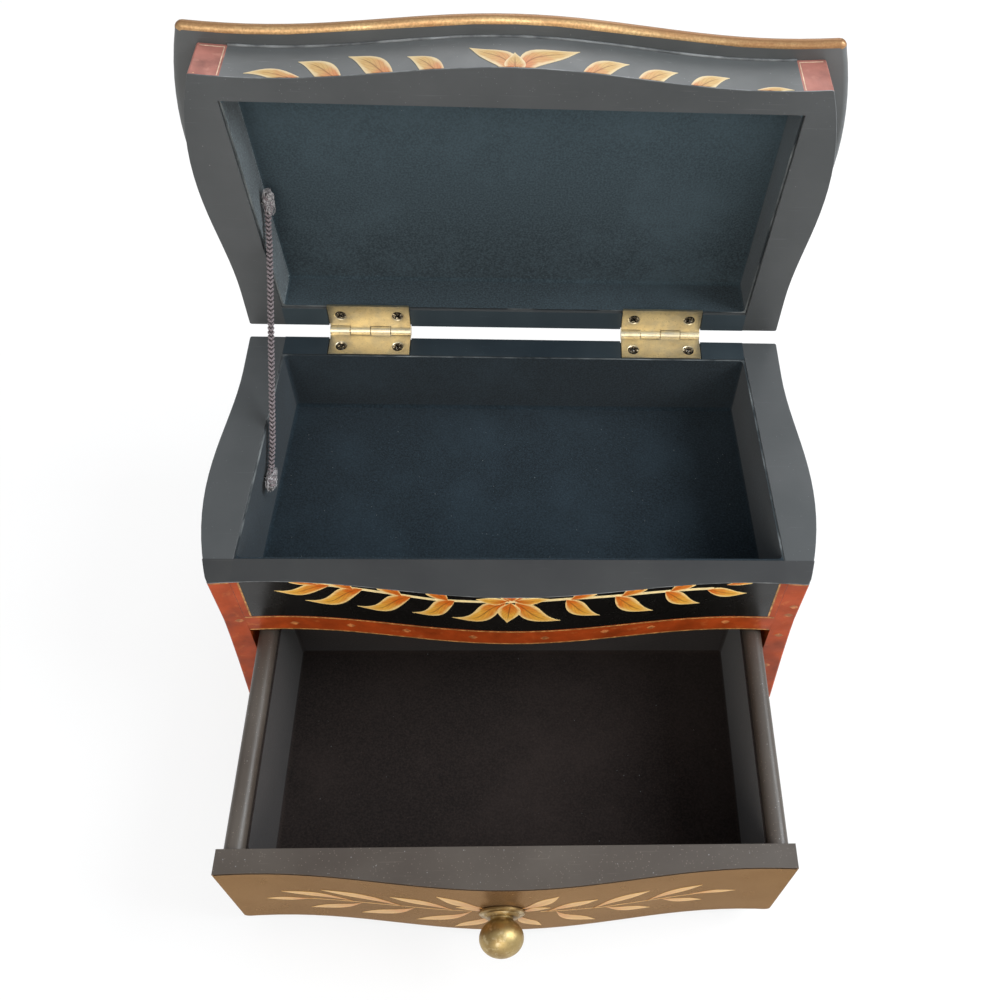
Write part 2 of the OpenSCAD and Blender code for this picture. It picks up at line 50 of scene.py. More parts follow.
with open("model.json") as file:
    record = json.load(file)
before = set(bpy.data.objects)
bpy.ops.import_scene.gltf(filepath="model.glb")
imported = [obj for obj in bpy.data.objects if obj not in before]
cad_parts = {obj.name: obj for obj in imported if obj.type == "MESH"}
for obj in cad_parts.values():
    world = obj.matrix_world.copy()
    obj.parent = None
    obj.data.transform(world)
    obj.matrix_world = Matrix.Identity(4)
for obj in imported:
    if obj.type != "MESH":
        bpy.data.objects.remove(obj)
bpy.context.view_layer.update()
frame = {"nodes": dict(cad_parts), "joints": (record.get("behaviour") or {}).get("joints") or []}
MM = 0.001
SAME = 1e-6
HANDS = ((-1, "left"), (1, "right"))

# Places that the construction gives
JOINTS = {joint["name"]: joint for joint in frame["joints"]}
HINGE_AXIS = Vector(JOINTS["lid_hinge"]["pos_m"])
LID_ANGLE = math.radians(JOINTS["lid_hinge"]["range_deg"][1])
RIM_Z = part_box("side_left")[1].z
WALL_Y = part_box("side_left")[0].y
POST_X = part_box("front_frieze")[1].x
BLOCK_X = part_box("lid_front")[1].x
TRAY_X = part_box("back_rail")[1].x
RAIL_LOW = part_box("drawer_rail")[0].z
RAIL_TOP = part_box("drawer_rail")[1].z
CLOSE = (
    Matrix.Translation(HINGE_AXIS) @ Matrix.Rotation(LID_ANGLE, 4, "X") @ Matrix.Translation(-HINGE_AXIS)
)
OPEN = CLOSE.inverted()
LID_LOW = min((CLOSE @ v.co).z for v in frame["nodes"]["lid_front"].data.vertices)
LID_HIGH = max((CLOSE @ v.co).z for v in frame["nodes"]["lid_front"].data.vertices)

# The angle past which an edge is sharp, and how level a face on a rim or beside it is
SHARP = math.radians(35)
FLAT, LEANING = 0.85, 0.15
PAINT_START_Y = -0.4

# The camera: its place in metres, its pitch, yaw and roll in degrees, and the shift of its picture
CAMERA_AT = (0.0044, -0.22539, 0.3994)
CAMERA_TURN = (54.13, 4.996, 4.518)
CAMERA_SHIFT = (-0.0824, -0.0383)

# The lamps: name, place, size, power and colour
LAMPS = (
    ("side_window", (0.8, -0.05, 0.75), 0.7, 13.0, (0.88, 0.95, 1.0)),
    ("back_window", (0.1, 1.0, 0.85), 0.9, 6.0, (0.97, 0.98, 1.0)),
    ("room_light", (-0.15, -1.1, 0.75), 1.0, 7.5, (1.0, 0.95, 0.88)),
)
LAMP_AIM = Vector((0, -0.02, 0.09))

# The cord stay's middle line, from its end in the tray to its end in the lid, in millimetres
CORD_ROUTE = [(-85.7, -9, 82), (-85.7, -5, 82.5), (-85.5, 0, 84.5), (-85.1, 8, 91),
              (-85, 20, 102), (-85, 32, 112.5), (-85, 44, 123), (-85, 54, 132),
              (-85.1, 59.5, 137.5), (-85.2, 63.2, 141.3), (-85.3, 66, 145), (-85.3, 67.5, 148.5)]

# Painted strokes on the front of the closed chest, in millimetres: base, tip, width and bend.
# The vine runs along the seam between the case and the lid, so its leaves are parted there.
# Each entry is a layer of paint over the one before it, with the flick of its tips and
# how far along each stroke is fullest: below 1 towards its base, above 1 towards its tip.
FRONT_STROKES = [
    (-0.55, 0.75, [
        ((-18.5, 88.6), (-33, 78), 6.8, 0.12), ((-32.5, 88.7), (-51, 78.5), 7, 0.12),
        ((-48, 90.4), (-68, 80), 7, 0.12), ((-58.5, 91), (-77, 86), 5.4, 0.1),
        ((-2, 88.5), (-20, 77), 8, 0.13)]),
    (-0.25, 0.75, [
        ((17.5, 89.4), (29, 77), 7, -0.1), ((33.5, 88.9), (47, 76.5), 7.2, -0.1),
        ((50, 88.8), (62.5, 79), 6.6, -0.1), ((64, 87.8), (77.5, 85), 5.4, -0.08),
        ((1, 88.5), (16, 75.5), 8, -0.12)]),
    (-0.4, 0.85, [
        ((-20.5, 88.4), (-32.5, 99.8), 7.2, -0.07), ((-35.5, 88.6), (-50.5, 102), 8, -0.07),
        ((-51, 89.6), (-65.5, 100.5), 7.6, -0.07), ((-62, 91), (-81, 94.5), 5.2, -0.08),
        ((19, 89.4), (34.5, 99), 7.2, 0.07), ((35.5, 88.6), (49.5, 98), 6.8, 0.07),
        ((51.5, 88.7), (65.5, 98), 6.6, 0.07), ((70, 90.8), (85, 93), 3, 0.06)]),
    (0.3, 0.75, [
        ((-1, 89.5), (-14, 102.5), 7.6, -0.16), ((1, 89.5), (19.5, 102.5), 8, 0.15),
        ((-1.5, 89.8), (-11.5, 90.4), 4.4, 0.06), ((1, 89.8), (12, 90.6), 4.4, -0.06)]),
    (0.0, 0.75, [((0, 90), (-0.2, 100), 6.4, 0), ((-0.5, 88.5), (-1.8, 75), 7.6, 0)]),
]
FRONT_STEMS = [[(-68, 91.6), (-52, 90.4), (-42, 89.6), (-25, 88.2), (-8, 89),
                (8, 89.6), (18, 90), (34, 89.2), (50, 88.9), (66, 88.6)]]

# Strokes on the drawer front, slender and plainer
DRAWER_STROKES = [
    (0.2, 1.3, [
        ((-12, 32), (-31, 15.5), 4.6, 0.08), ((-30, 31.5), (-49, 17), 4.6, 0.08),
        ((-47, 30.5), (-65.5, 19), 4.2, 0.08), ((-63, 30.5), (-78, 29.5), 3.2, 0.04),
        ((15, 30), (28.5, 13.5), 4.8, -0.1), ((31, 28.5), (46.5, 20), 4.6, -0.08),
        ((49, 30), (63.5, 23), 4, -0.08), ((58, 31), (73.5, 32.5), 3, 0.04),
        ((-6, 28), (-18.5, 10.5), 4.6, 0.1), ((3, 28), (10.5, 12.5), 4.6, -0.1)]),
    (0.2, 1.3, [
        ((-18, 32), (-37.5, 41), 4.6, -0.07), ((-34, 30.8), (-59, 41.5), 4.6, -0.06),
        ((-50, 30.8), (-72, 38), 4, -0.06),
        ((12, 30.5), (28, 39), 4.6, 0.07), ((27, 28.7), (44.5, 41.5), 4.6, 0.06),
        ((44.5, 29.2), (61.5, 41.5), 4.2, 0.06),
        ((-6, 35), (-22.5, 47), 5, 0.06), ((3, 35), (15.5, 47.5), 5, -0.06)]),
    (0.0, 1, [((-8, 32.5), (-17, 36), 3.4, -0.1), ((4, 32), (13, 35), 3.4, 0.1)]),
]
DRAWER_STEMS = [[(-68, 30), (-48, 30.5), (-30, 31.5), (-12, 32)],
                [(10, 30.8), (14, 30.5), (30, 28.6), (48, 29.5), (62, 31.2)]]

# Pale flecks along the rail and on the posts: name, board, and x and z in millimetres
FLECKS = (
    ("rail_flecks", "red_drawer_rail", [(-74, 63.5), (-55, 63.8), (-36, 64), (-13.5, 63.5),
                                        (11, 63), (31.5, 64.5), (47.5, 64), (73.5, 64.5)]),
    ("left_post_flecks", "red_post_left", [(-92, 66)]),
    ("right_post_flecks", "red_post_right", [(95, 76.5), (94.4, 70.5), (93.8, 56), (93.3, 33.5)]),
)


def length(name, description, millimetres):
    return FloatProperty(name=name, description=description, default=millimetres * MM, unit="LENGTH")


def hue(name, description, *default):
    return FloatVectorProperty(name=name, description=description, subtype="COLOR", default=default)


class ChestSizes(bpy.types.PropertyGroup):
    """Sizes of the finishing work."""

    ease: length("Eased edge", "Rounding of the sanded board edges", 0.35)
    metal_ease: length("Eased metal edge", "Rounding of the hinge leaves' edges", 0.12)
    lining_round: length("Lining corners", "Rounding of the linings' inner corners", 1.4)
    lid_lining_set: length("Lid lining set", "How far the lid's lining stops behind its rim", 0.9)
    paint: length("Paint", "Thickness of the painted ornament", 0.04)
    line: length("Fine line", "Width of the gold lines", 0.55)
    stem: length("Stem", "Width of the front vine's stem", 1.4)
    drawer_stem: length("Drawer stem", "Width of the drawer vine's stem", 0.6)
    fleck: length("Fleck", "Length of a pale fleck", 3.2)
    cord: length("Cord", "Diameter of the braided cord", 2.6)
    tuft: length("Tuft", "Length of the loosened yarn at the cord's ends", 9.0)
    plait_pitch: length("Plait pitch", "Length along the cord between two strands of a column", 1.5)
    plait_columns: IntProperty(
        name="Plait columns", description="Columns of strands round the cord, which lean to and fro",
        default=4, min=2, max=8)
    lens: FloatProperty(name="Lens", description="Focal length of the camera in millimetres", default=39.06)


class ChestColours(bpy.types.PropertyGroup):
    """Base colours of the finishes."""

    black: hue("Black lacquer", "Lacquer of the boards", 0.016, 0.016, 0.0165)
    # The drawer front's brown is a painted reflection of a warm brown surface before it.
    brown: hue("Brown lacquer", "Lacquer of the drawer front", 0.235, 0.135, 0.062)
    red: hue("Red lacquer", "Lacquer of the posts and the rail", 0.41, 0.06, 0.010)
    gold: hue("Gold", "Gold of the moulded edges", 0.31, 0.165, 0.07)
    leaf: hue("Leaf gold", "Gold of the painted leaves", 0.78, 0.40, 0.055)
    blush: hue("Leaf blush", "Orange at the leaves' bases", 0.62, 0.13, 0.012)
    cream: hue("Cream", "Pale edges of the leaves", 0.86, 0.62, 0.26)
    flock: hue("Flock", "Flock of the tray", 0.0115, 0.019, 0.025)
    # The lid's flock is a lighter copy of the tray's flock: painted light.
    lid_flock: hue("Lid flock", "Flock of the lid, faded by the light", 0.029, 0.043, 0.051)
    # Charcoal is a lighter copy of the black lacquer, for the case's side rims and the lid's walls and
    # rims: painted light.
    charcoal: hue("Charcoal", "Lightened lacquer of the lid's rim and sides", 0.042, 0.045, 0.046)
    # Lighter black of the lid's front and of the underside of its top: painted reflection.
    faded: hue("Brightened", "Faded lacquer of the lid's front", 0.07, 0.073, 0.073)
    # Pinker, lighter red of the lid's corner blocks: painted reflection of white light on the red lacquer.
    pink: hue("Faded red", "Faded red of the lid's corner blocks", 0.36, 0.145, 0.115)
    umber: hue("Umber", "Brown-black lacquer of the drawer's edges", 0.045, 0.033, 0.025)
    # The drawer flock's brown tint is painted warm light bounced into the drawer.
    drawer_flock: hue("Drawer flock", "Flock of the drawer", 0.0155, 0.0108, 0.0092)
    brass: hue("Brass", "Aged brass of the hinges", 0.75, 0.64, 0.42)
    bronze: hue("Bronze", "Dark bronze of the screws", 0.075, 0.067, 0.06)
    cord: hue("Cord", "Yarn of the braided cord", 0.165, 0.133, 0.138)
    board: hue("Plain board", "Unpainted boards inside", 0.33, 0.21, 0.11)


# Working on objects

def deselect():
    bpy.ops.object.select_all(action="DESELECT")


def only(piece):
    """Select one piece alone and make it active."""
    deselect()
    piece.select_set(True)
    bpy.context.view_layer.objects.active = piece


def editing(piece, select="SELECT"):
    only(piece)
    bpy.ops.object.mode_set(mode="EDIT")
    bpy.ops.mesh.select_mode(type="VERT")
    bpy.ops.mesh.select_all(action=select)


def done_editing():
    bpy.ops.object.mode_set(mode="OBJECT")


def pick(piece, kind, wanted):
    """Select, while editing, the faces or edges that a test picks out."""
    bpy.ops.mesh.select_all(action="DESELECT")
    bpy.ops.mesh.select_mode(type=kind)
    shape = bmesh.from_edit_mesh(piece.data)
    for element in shape.faces if kind == "FACE" else shape.edges:
        element.select_set(wanted(element))
    bmesh.update_edit_mesh(piece.data)


def apply(piece, modifier):
    only(piece)
    bpy.ops.object.modifier_apply(modifier=modifier.name)


def moved(piece, matrix):
    piece.data.transform(matrix)
    piece.data.update()


def settle(piece):
    """Put a piece's place into its mesh."""
    only(piece)
    bpy.ops.object.transform_apply(location=True, rotation=True, scale=True)


def merge_doubles(piece):
    editing(piece)
    bpy.ops.mesh.remove_doubles(threshold=SAME)
    done_editing()


def joined(pieces, name):
    deselect()
    for piece in pieces:
        piece.select_set(True)
    bpy.context.view_layer.objects.active = pieces[0]
    bpy.ops.object.join()
    pieces[0].name = name
    pieces[0].data.name = name
    return pieces[0]


def shaded(piece, angle=SHARP):
    """Smooth the round faces and keep the flat ones flat."""
    only(piece)
    bpy.ops.object.shade_smooth_by_angle(angle=angle)
    weights = piece.modifiers.new("flat_faces", "WEIGHTED_NORMAL")
    weights.keep_sharp = True
    weights.weight = 100
    apply(piece, weights)


def linked(name, data):
    piece = bpy.data.objects.new(name, data)
    bpy.context.scene.collection.objects.link(piece)
    return piece


def board_copy(node, name, matrix=None, whole=True):
    """A copy of a board's solid, with its triangles merged into whole faces unless it is notched."""
    piece = linked(name, frame["nodes"][node].data.copy())
    piece.data.name = name
    piece.data.materials.clear()
    if matrix is not None:
        moved(piece, matrix)
    only(piece)
    bpy.ops.mesh.customdata_custom_splitnormals_clear()
    editing(piece)
    bpy.ops.mesh.remove_doubles(threshold=SAME)
    if whole:
        bpy.ops.mesh.dissolve_limited(angle_limit=math.radians(0.4))
    done_editing()
    return piece


def both(x):
    """The planes at a distance to the left and the right of the middle, as axis number and place."""
    return [(0, x), (0, -x)]


def on_plane(edge, planes):
    """True for an edge that lies in one of the planes."""
    return any(all(abs(v.co[axis] - place) < 2e-5 for v in edge.verts) for axis, place in planes)


def eased(piece, width, joints=()):
    """Round the sharp edges of a piece, but not those where it meets its neighbour flush."""
    shape = bmesh.new()
    shape.from_mesh(piece.data)
    weight = shape.edges.layers.float.new("bevel_weight_edge")
    for edge in shape.edges:
        if len(edge.link_faces) == 2 and edge.calc_face_angle() > SHARP and not on_plane(edge, joints):
            edge[weight] = 1.0
    shape.to_mesh(piece.data)
    shape.free()
    bevel = piece.modifiers.new("eased_edges", "BEVEL")
    bevel.limit_method = "WEIGHT"
    bevel.width = width
    bevel.segments = 2
    apply(piece, bevel)
    shaded(piece)
    return piece


def paint_faces(piece, finish, wanted):
    """Give the faces that a test on their middle and normal picks out a finish of their own."""
    piece.data.materials.append(FINISHES[finish])
    slot = len(piece.data.materials) - 1
    for face in piece.data.polygons:
        if wanted(face.center, face.normal):
            face.material_index = slot


def paint_rim(piece, finish, lid):
    """Lacquer of its own on the rim where the case and the closed lid meet, worn along its edges."""
    up, rim = (-1, LID_LOW) if lid else (1, RIM_Z)

    def on_rim(at, normal):
        return up * normal.z > FLAT and up * (rim - at.z) < 1 * MM

    def beside_rim(at, normal):
        return LEANING < up * normal.z < FLAT and up * (rim - at.z) < 0.6 * MM

    paint_faces(piece, finish, on_rim)
    paint_faces(piece, "worn", beside_rim)


def place(piece, body, slot, finish, *nodes):
    """Finish a piece: its material, the body that it moves with, and the nodes that it stands for."""
    if not piece.data.materials:
        piece.data.materials.append(FINISHES[finish])
    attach(piece, body)
    if nodes:
        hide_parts(*nodes)


def lacquered(node, prefix, body, slot, finish, rim, joints, whole=True):
    """A board with eased edges and a rubbed rim. The lid's boards are worked on in their closed place."""
    lid = body == "lid"
    piece = board_copy(node, prefix + node, CLOSE if lid else None, whole)
    eased(piece, bpy.context.scene.chest_sizes.ease, joints)
    piece.data.materials.append(FINISHES[finish])
    paint_rim(piece, rim, lid)
    if lid:
        moved(piece, OPEN)
    place(piece, body, slot, finish, node)


def refinish(node, finish):
    """Give a finish to a solid that is shown as it is."""
    for slot in frame["nodes"][node].material_slots:
        slot.material = FINISHES[finish]


# Round curves

def tube(name, radius):
    data = bpy.data.curves.new(name, "CURVE")
    data.dimensions = "3D"
    data.bevel_depth = radius
    data.bevel_resolution = 2
    data.use_fill_caps = True
    return data


def run_along(data, points):
    """Add a run through points, each with its thickness, to a tube."""
    spline = data.splines.new("POLY")
    spline.points.add(len(points) - 1)
    for point, (at, thickness) in zip(spline.points, points):
        point.co = (*at, 1)
        point.radius = thickness
    return spline


def meshed(data):
    """The smooth mesh of a tube."""
    only(linked(data.name, data))
    bpy.ops.object.convert(target="MESH")
    piece = bpy.context.object
    merge_doubles(piece)
    bpy.ops.object.shade_smooth()
    return piece


# Building materials

def rgba(colour, gain=1.0):
    return (colour[0] * gain, colour[1] * gain, colour[2] * gain, 1.0)


class Nodes:
    """A node tree that is being built."""

    def __init__(self, tree):
        self.tree = tree

    def feed(self, socket, value):
        if isinstance(value, bpy.types.NodeSocket):
            self.tree.links.new(value, socket)
        else:
            socket.default_value = value

    def put(self, kind, inputs=None, **settings):
        """Add a node, set it, set or link its inputs, and give its outputs."""
        made = self.tree.nodes.new("ShaderNode" + kind)
        for key, value in settings.items():
            setattr(made, key, value)
        for key, value in (inputs or {}).items():
            self.feed(made.inputs[key], value)
        return made.outputs

    def coords(self, stretch=None):
        where = self.put("TexCoord")["Object"]
        if stretch:
            where = self.put("Mapping", {"Vector": where, "Scale": stretch})["Vector"]
        return where

    def along(self, axis):
        return self.put("SeparateXYZ", {"Vector": self.coords()})[axis]

    def grain(self, scale, detail, stretch=None):
        return self.put("TexNoise", {"Vector": self.coords(stretch), "Scale": scale, "Detail": detail,
                                     "Roughness": 0.55})[0]

    def between(self, value, low, high, start=0.0, end=1.0):
        """A value spread from low and high to start and end."""
        return self.put("MapRange", {"Value": value, "From Min": low, "From Max": high,
                                     "To Min": start, "To Max": end})["Result"]

    def clouds(self, noise, low, high, start=0.0, end=1.0):
        """Noise, given as its scale, detail and stretch, spread from low and high to start and end."""
        return self.between(self.grain(*noise), low, high, start, end)

    def maths(self, operation, first, second=0.0):
        return self.put("Math", {0: first, 1: second}, operation=operation)[0]

    def mixed(self, share, first, second):
        return self.put("Mix", {0: share, 6: first, 7: second}, data_type="RGBA")[2]

    def specks(self, scale, size, share):
        """Sparse dust: 1 on a speck and 0 elsewhere."""
        cells = self.put("TexVoronoi", {"Vector": self.coords(), "Scale": scale})
        near = self.maths("LESS_THAN", cells["Distance"], size)
        return self.maths("MULTIPLY", near, self.maths("GREATER_THAN", cells["Color"], 1.0 - share))


class Finish(Nodes):
    """A material that is being built, with the layers of its base colour."""

    def __init__(self, name, colour, gain=1.0, **values):
        self.material = bpy.data.materials.new(name)
        self.material.use_nodes = True
        super().__init__(self.material.node_tree)
        self.shader = self.tree.nodes["Principled BSDF"]
        self.base = rgba(colour, gain)
        for key, value in values.items():
            self.shader.inputs[key.replace("_", " ")].default_value = value

    def over(self, share, colour, gain=1.0):
        """Lay a colour over the layers so far, as densely as its share says."""
        self.base = self.mixed(share, self.base, rgba(colour, gain))

    def rough(self, value):
        self.feed(self.shader.inputs["Roughness"], value)

    def bump(self, height, millimetres, strength):
        made = self.put("Bump", {"Height": height, "Distance": millimetres * MM, "Strength": strength})
        self.feed(self.shader.inputs["Normal"], made["Normal"])

    def done(self):
        self.feed(self.shader.inputs["Base Color"], self.base)
        return self.material


def lacquer(name, colour, haze, rough, dust, gloss=0.5, bronze=0.0, tint=(1, 1, 1)):
    """Hand-rubbed lacquer: faint haze, fine hairlines, dust specks and a slight orange peel."""
    paint = Finish(name, colour, Specular_IOR_Level=gloss, Specular_Tint=rgba(tint), Metallic=bronze)
    paint.over(paint.clouds((26, 5), 0.35, 0.75), haze)
    paint.over(paint.clouds((60, 2, (1, 40, 40)), 0.68, 0.74, 0.0, 0.35), haze, 1.8)
    paint.over(paint.specks(420, 0.07, dust), (0.2, 0.195, 0.19))
    paint.over(paint.specks(1500, 0.16, dust), haze, 2.6)
    paint.rough(paint.clouds((90, 6), 0.3, 0.75, rough, rough + 0.14))
    paint.bump(paint.grain(900, 3), 0.02, 0.35)
    return paint.done()


def red_lacquer(name, colour, glow):
    """Red over brown, rubbed through in clouds, with pale flecks."""
    paint = Finish(name, colour, Specular_IOR_Level=0.12)
    paint.over(paint.clouds((120, 6), 0.36, 0.7), colour, 0.55)
    paint.over(paint.clouds((300, 3), 0.6, 0.75, 0.0, 0.5), glow)
    paint.over(paint.specks(600, 0.16, 0.1), (0.62, 0.36, 0.18))
    paint.rough(paint.clouds((200, 4), 0.3, 0.7, 0.3, 0.5))
    paint.bump(paint.grain(700, 4), 0.03, 0.4)
    return paint.done()


def gold_edge(name, gold, stretch, node, axis):
    """Bronze powder gold brushed along an edge, finely granular, with a painted highlight on its lower half
    and painted shade, browner, towards the upper face.
    """
    low, high = (corner["XYZ".index(axis)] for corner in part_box(node))
    # Painted highlight and shade: the gold turns browner between these places along the axis.
    start, end = low + 0.27 * (high - low), low + 0.48 * (high - low)
    paint = Finish(name, gold, 2.1, Metallic=0.45, Specular_IOR_Level=0.3)
    streaks = paint.clouds((900, 3, stretch), 0.3, 0.7)
    paint.over(streaks, (1.0, 0.72, 0.36))
    paint.over(paint.between(paint.along(axis), start, end, 0.0, 0.95), gold, 0.75)
    paint.over(paint.clouds((1300, 3), 0.42, 0.6, 0.4, 0.0), gold, 0.7)
    paint.over(paint.clouds((120, 5, stretch), 0.5, 0.75, 0.0, 0.8), (0.2, 0.085, 0.032))
    paint.rough(paint.between(streaks, 0.0, 1.0, 0.46, 0.32))
    paint.bump(paint.grain(1300, 3), 0.06, 0.5)
    return paint.done()


def leaf_paint(name, gold, blush, cream, pale):
    """Brushed leaf: orange at its base, gold to its tip, cream edges and fine dark veins."""
    paint = Finish(name, blush, Specular_IOR_Level=0.2, Roughness=0.38)
    leaf = paint.put("TexCoord")["UV"]
    split = paint.put("SeparateXYZ", {"Vector": leaf})
    along = split["X"]
    off_spine = paint.maths("ABSOLUTE", paint.maths("SUBTRACT", split["Y"], 0.5))
    blotch = paint.maths("SUBTRACT", paint.grain(260, 4), 0.5)
    reach = paint.maths("ADD", along, paint.maths("MULTIPLY", blotch, 0.7))
    paint.over(paint.between(reach, 0.15, 0.6), gold)
    brush = paint.put("Mapping", {"Vector": leaf, "Scale": (5, 34, 1)})["Vector"]
    hairs = paint.put("TexNoise", {"Vector": brush, "Scale": 1.0, "Detail": 3.0})[0]
    paint.over(paint.between(hairs, 0.5, 0.68, 0.0, 0.5), blush, 0.8)
    edge = paint.maths("ADD", off_spine, paint.maths("MULTIPLY", blotch, 0.25))
    paint.over(paint.between(edge, 0.3, 0.46, 0.0, pale), cream)
    paint.over(paint.between(along, 0.72, 1.0, 0.0, pale), cream)
    slant = paint.maths("SUBTRACT", paint.maths("MULTIPLY", along, 7.0),
                        paint.maths("MULTIPLY", off_spine, 6.0))
    rib = paint.between(paint.maths("PINGPONG", slant, 0.5), 0.0, 0.09, 0.6, 0.0)
    veins = paint.maths("MULTIPLY", rib, paint.between(off_spine, 0.3, 0.4, 1, 0))
    spine = paint.between(off_spine, 0.012, 0.05, 0.75, 0.0)
    dark = paint.maths("MULTIPLY", paint.maths("MAXIMUM", veins, spine),
                       paint.between(along, 0.7, 0.9, pale, 0.0))
    paint.over(dark, (0.13, 0.045, 0.012))
    return paint.done()


def mottled(name, dark, light, noise, low, high, relief=None, **values):
    """Two tones in clouds of noise, which raise the surface too where a relief is given."""
    paint = Finish(name, dark, **values)
    height = paint.grain(*noise)
    paint.over(paint.between(height, low, high), light)
    if relief:
        paint.bump(height, *relief)
    return paint.done()


def line_paint(name, colour, thin=0.45):
    """Thin painted line, its paint thinner here and there."""
    return mottled(name, rgba(colour, thin), rgba(colour, 1.1), (500, 4), 0.4, 0.62,
                   Specular_IOR_Level=0.2, Roughness=0.45)


def yarn(name, colour, size=2600, dark=0.45, light=1.7):
    """Braided yarn with fine fibres."""
    return mottled(name, rgba(colour, dark), rgba(colour, light), (size, 3), 0.3, 0.7, (0.08, 0.6),
                   Roughness=0.75, Specular_IOR_Level=0.3, Sheen_Weight=0.2, Sheen_Roughness=0.4)


def flock(name, colour, lint, fade=None):
    """Short flock: soft sheen, fine pile and lint, and lighter between two heights where they are given."""
    paint = Finish(name, colour, 0.6, Roughness=0.95, Specular_IOR_Level=0.12, Sheen_Weight=0.16,
                   Sheen_Roughness=0.5)
    pile = paint.grain(1500, 2)
    paint.over(paint.between(pile, 0.35, 0.7), colour, 1.35)
    paint.over(paint.clouds((34, 5), 0.45, 0.8, 0.0, 0.5), colour, 2.1)
    if fade:
        paint.over(paint.between(paint.along("Z"), *fade, 0.0, 0.45), colour, 2.4)
    paint.over(paint.specks(520, 0.075, lint), (0.13, 0.14, 0.14))
    paint.over(paint.specks(1300, 0.17, lint), colour, 3.2)
    paint.bump(pile, 0.12, 0.6)
    return paint.done()


def aged_brass(name, colour, stain, dull, tarnish):
    """Brass with a satin wear, brown stains, a dull bloom and fine scratches."""
    paint = Finish(name, colour, Metallic=1.0)
    paint.over(paint.clouds((140, 6), 0.42, 0.72, 0.0, stain), (0.16, 0.085, 0.03))
    paint.over(paint.clouds((420, 4), 0.52, 0.7, 0.0, 0.6), (0.8, 0.68, 0.44))
    paint.over(paint.clouds((160, 5), 0.46, 0.62, 0.0, 0.65), tarnish)
    paint.over(paint.clouds((1500, 2), 0.58, 0.72, 0.0, 0.5), colour, 0.45)
    scratch = paint.grain(200, 3, (1, 22, 22))
    paint.rough(paint.between(scratch, 0.3, 0.7, 0.28 + dull, 0.46 + dull))
    paint.bump(scratch, 0.03, 0.25)
    return paint.done()


def dark_bronze(name, colour):
    """Dark bronze with bright glints painted into its colour as sparse pale specks."""
    paint = Finish(name, colour, 0.6, Metallic=1.0)
    paint.over(paint.clouds((900, 4), 0.4, 0.7), colour, 2)
    # Painted glints: sparse pale specks in the base colour.
    paint.over(paint.clouds((1250, 2), 0.57, 0.64, 0.0, 0.9), (0.85, 0.82, 0.78))
    paint.rough(paint.clouds((1400, 3), 0.3, 0.7, 0.12, 0.32))
    return paint.done()


def plain_board(name, colours, painted_from=None):
    """Fine-grained unpainted board, its back edge painted black where a depth is given."""
    paint = Finish(name, colours.board, 0.7, Roughness=0.7, Specular_IOR_Level=0.25)
    rings = paint.grain(22, 6, (1, 9, 9))
    paint.over(paint.between(rings, 0.35, 0.65), colours.board, 1.15)
    if painted_from is not None:
        paint.over(paint.between(paint.along("Y"), painted_from - 0.1 * MM, painted_from), colours.black)
    paint.bump(rings, 0.05, 0.3)
    return paint.done()


FINISHES = {}


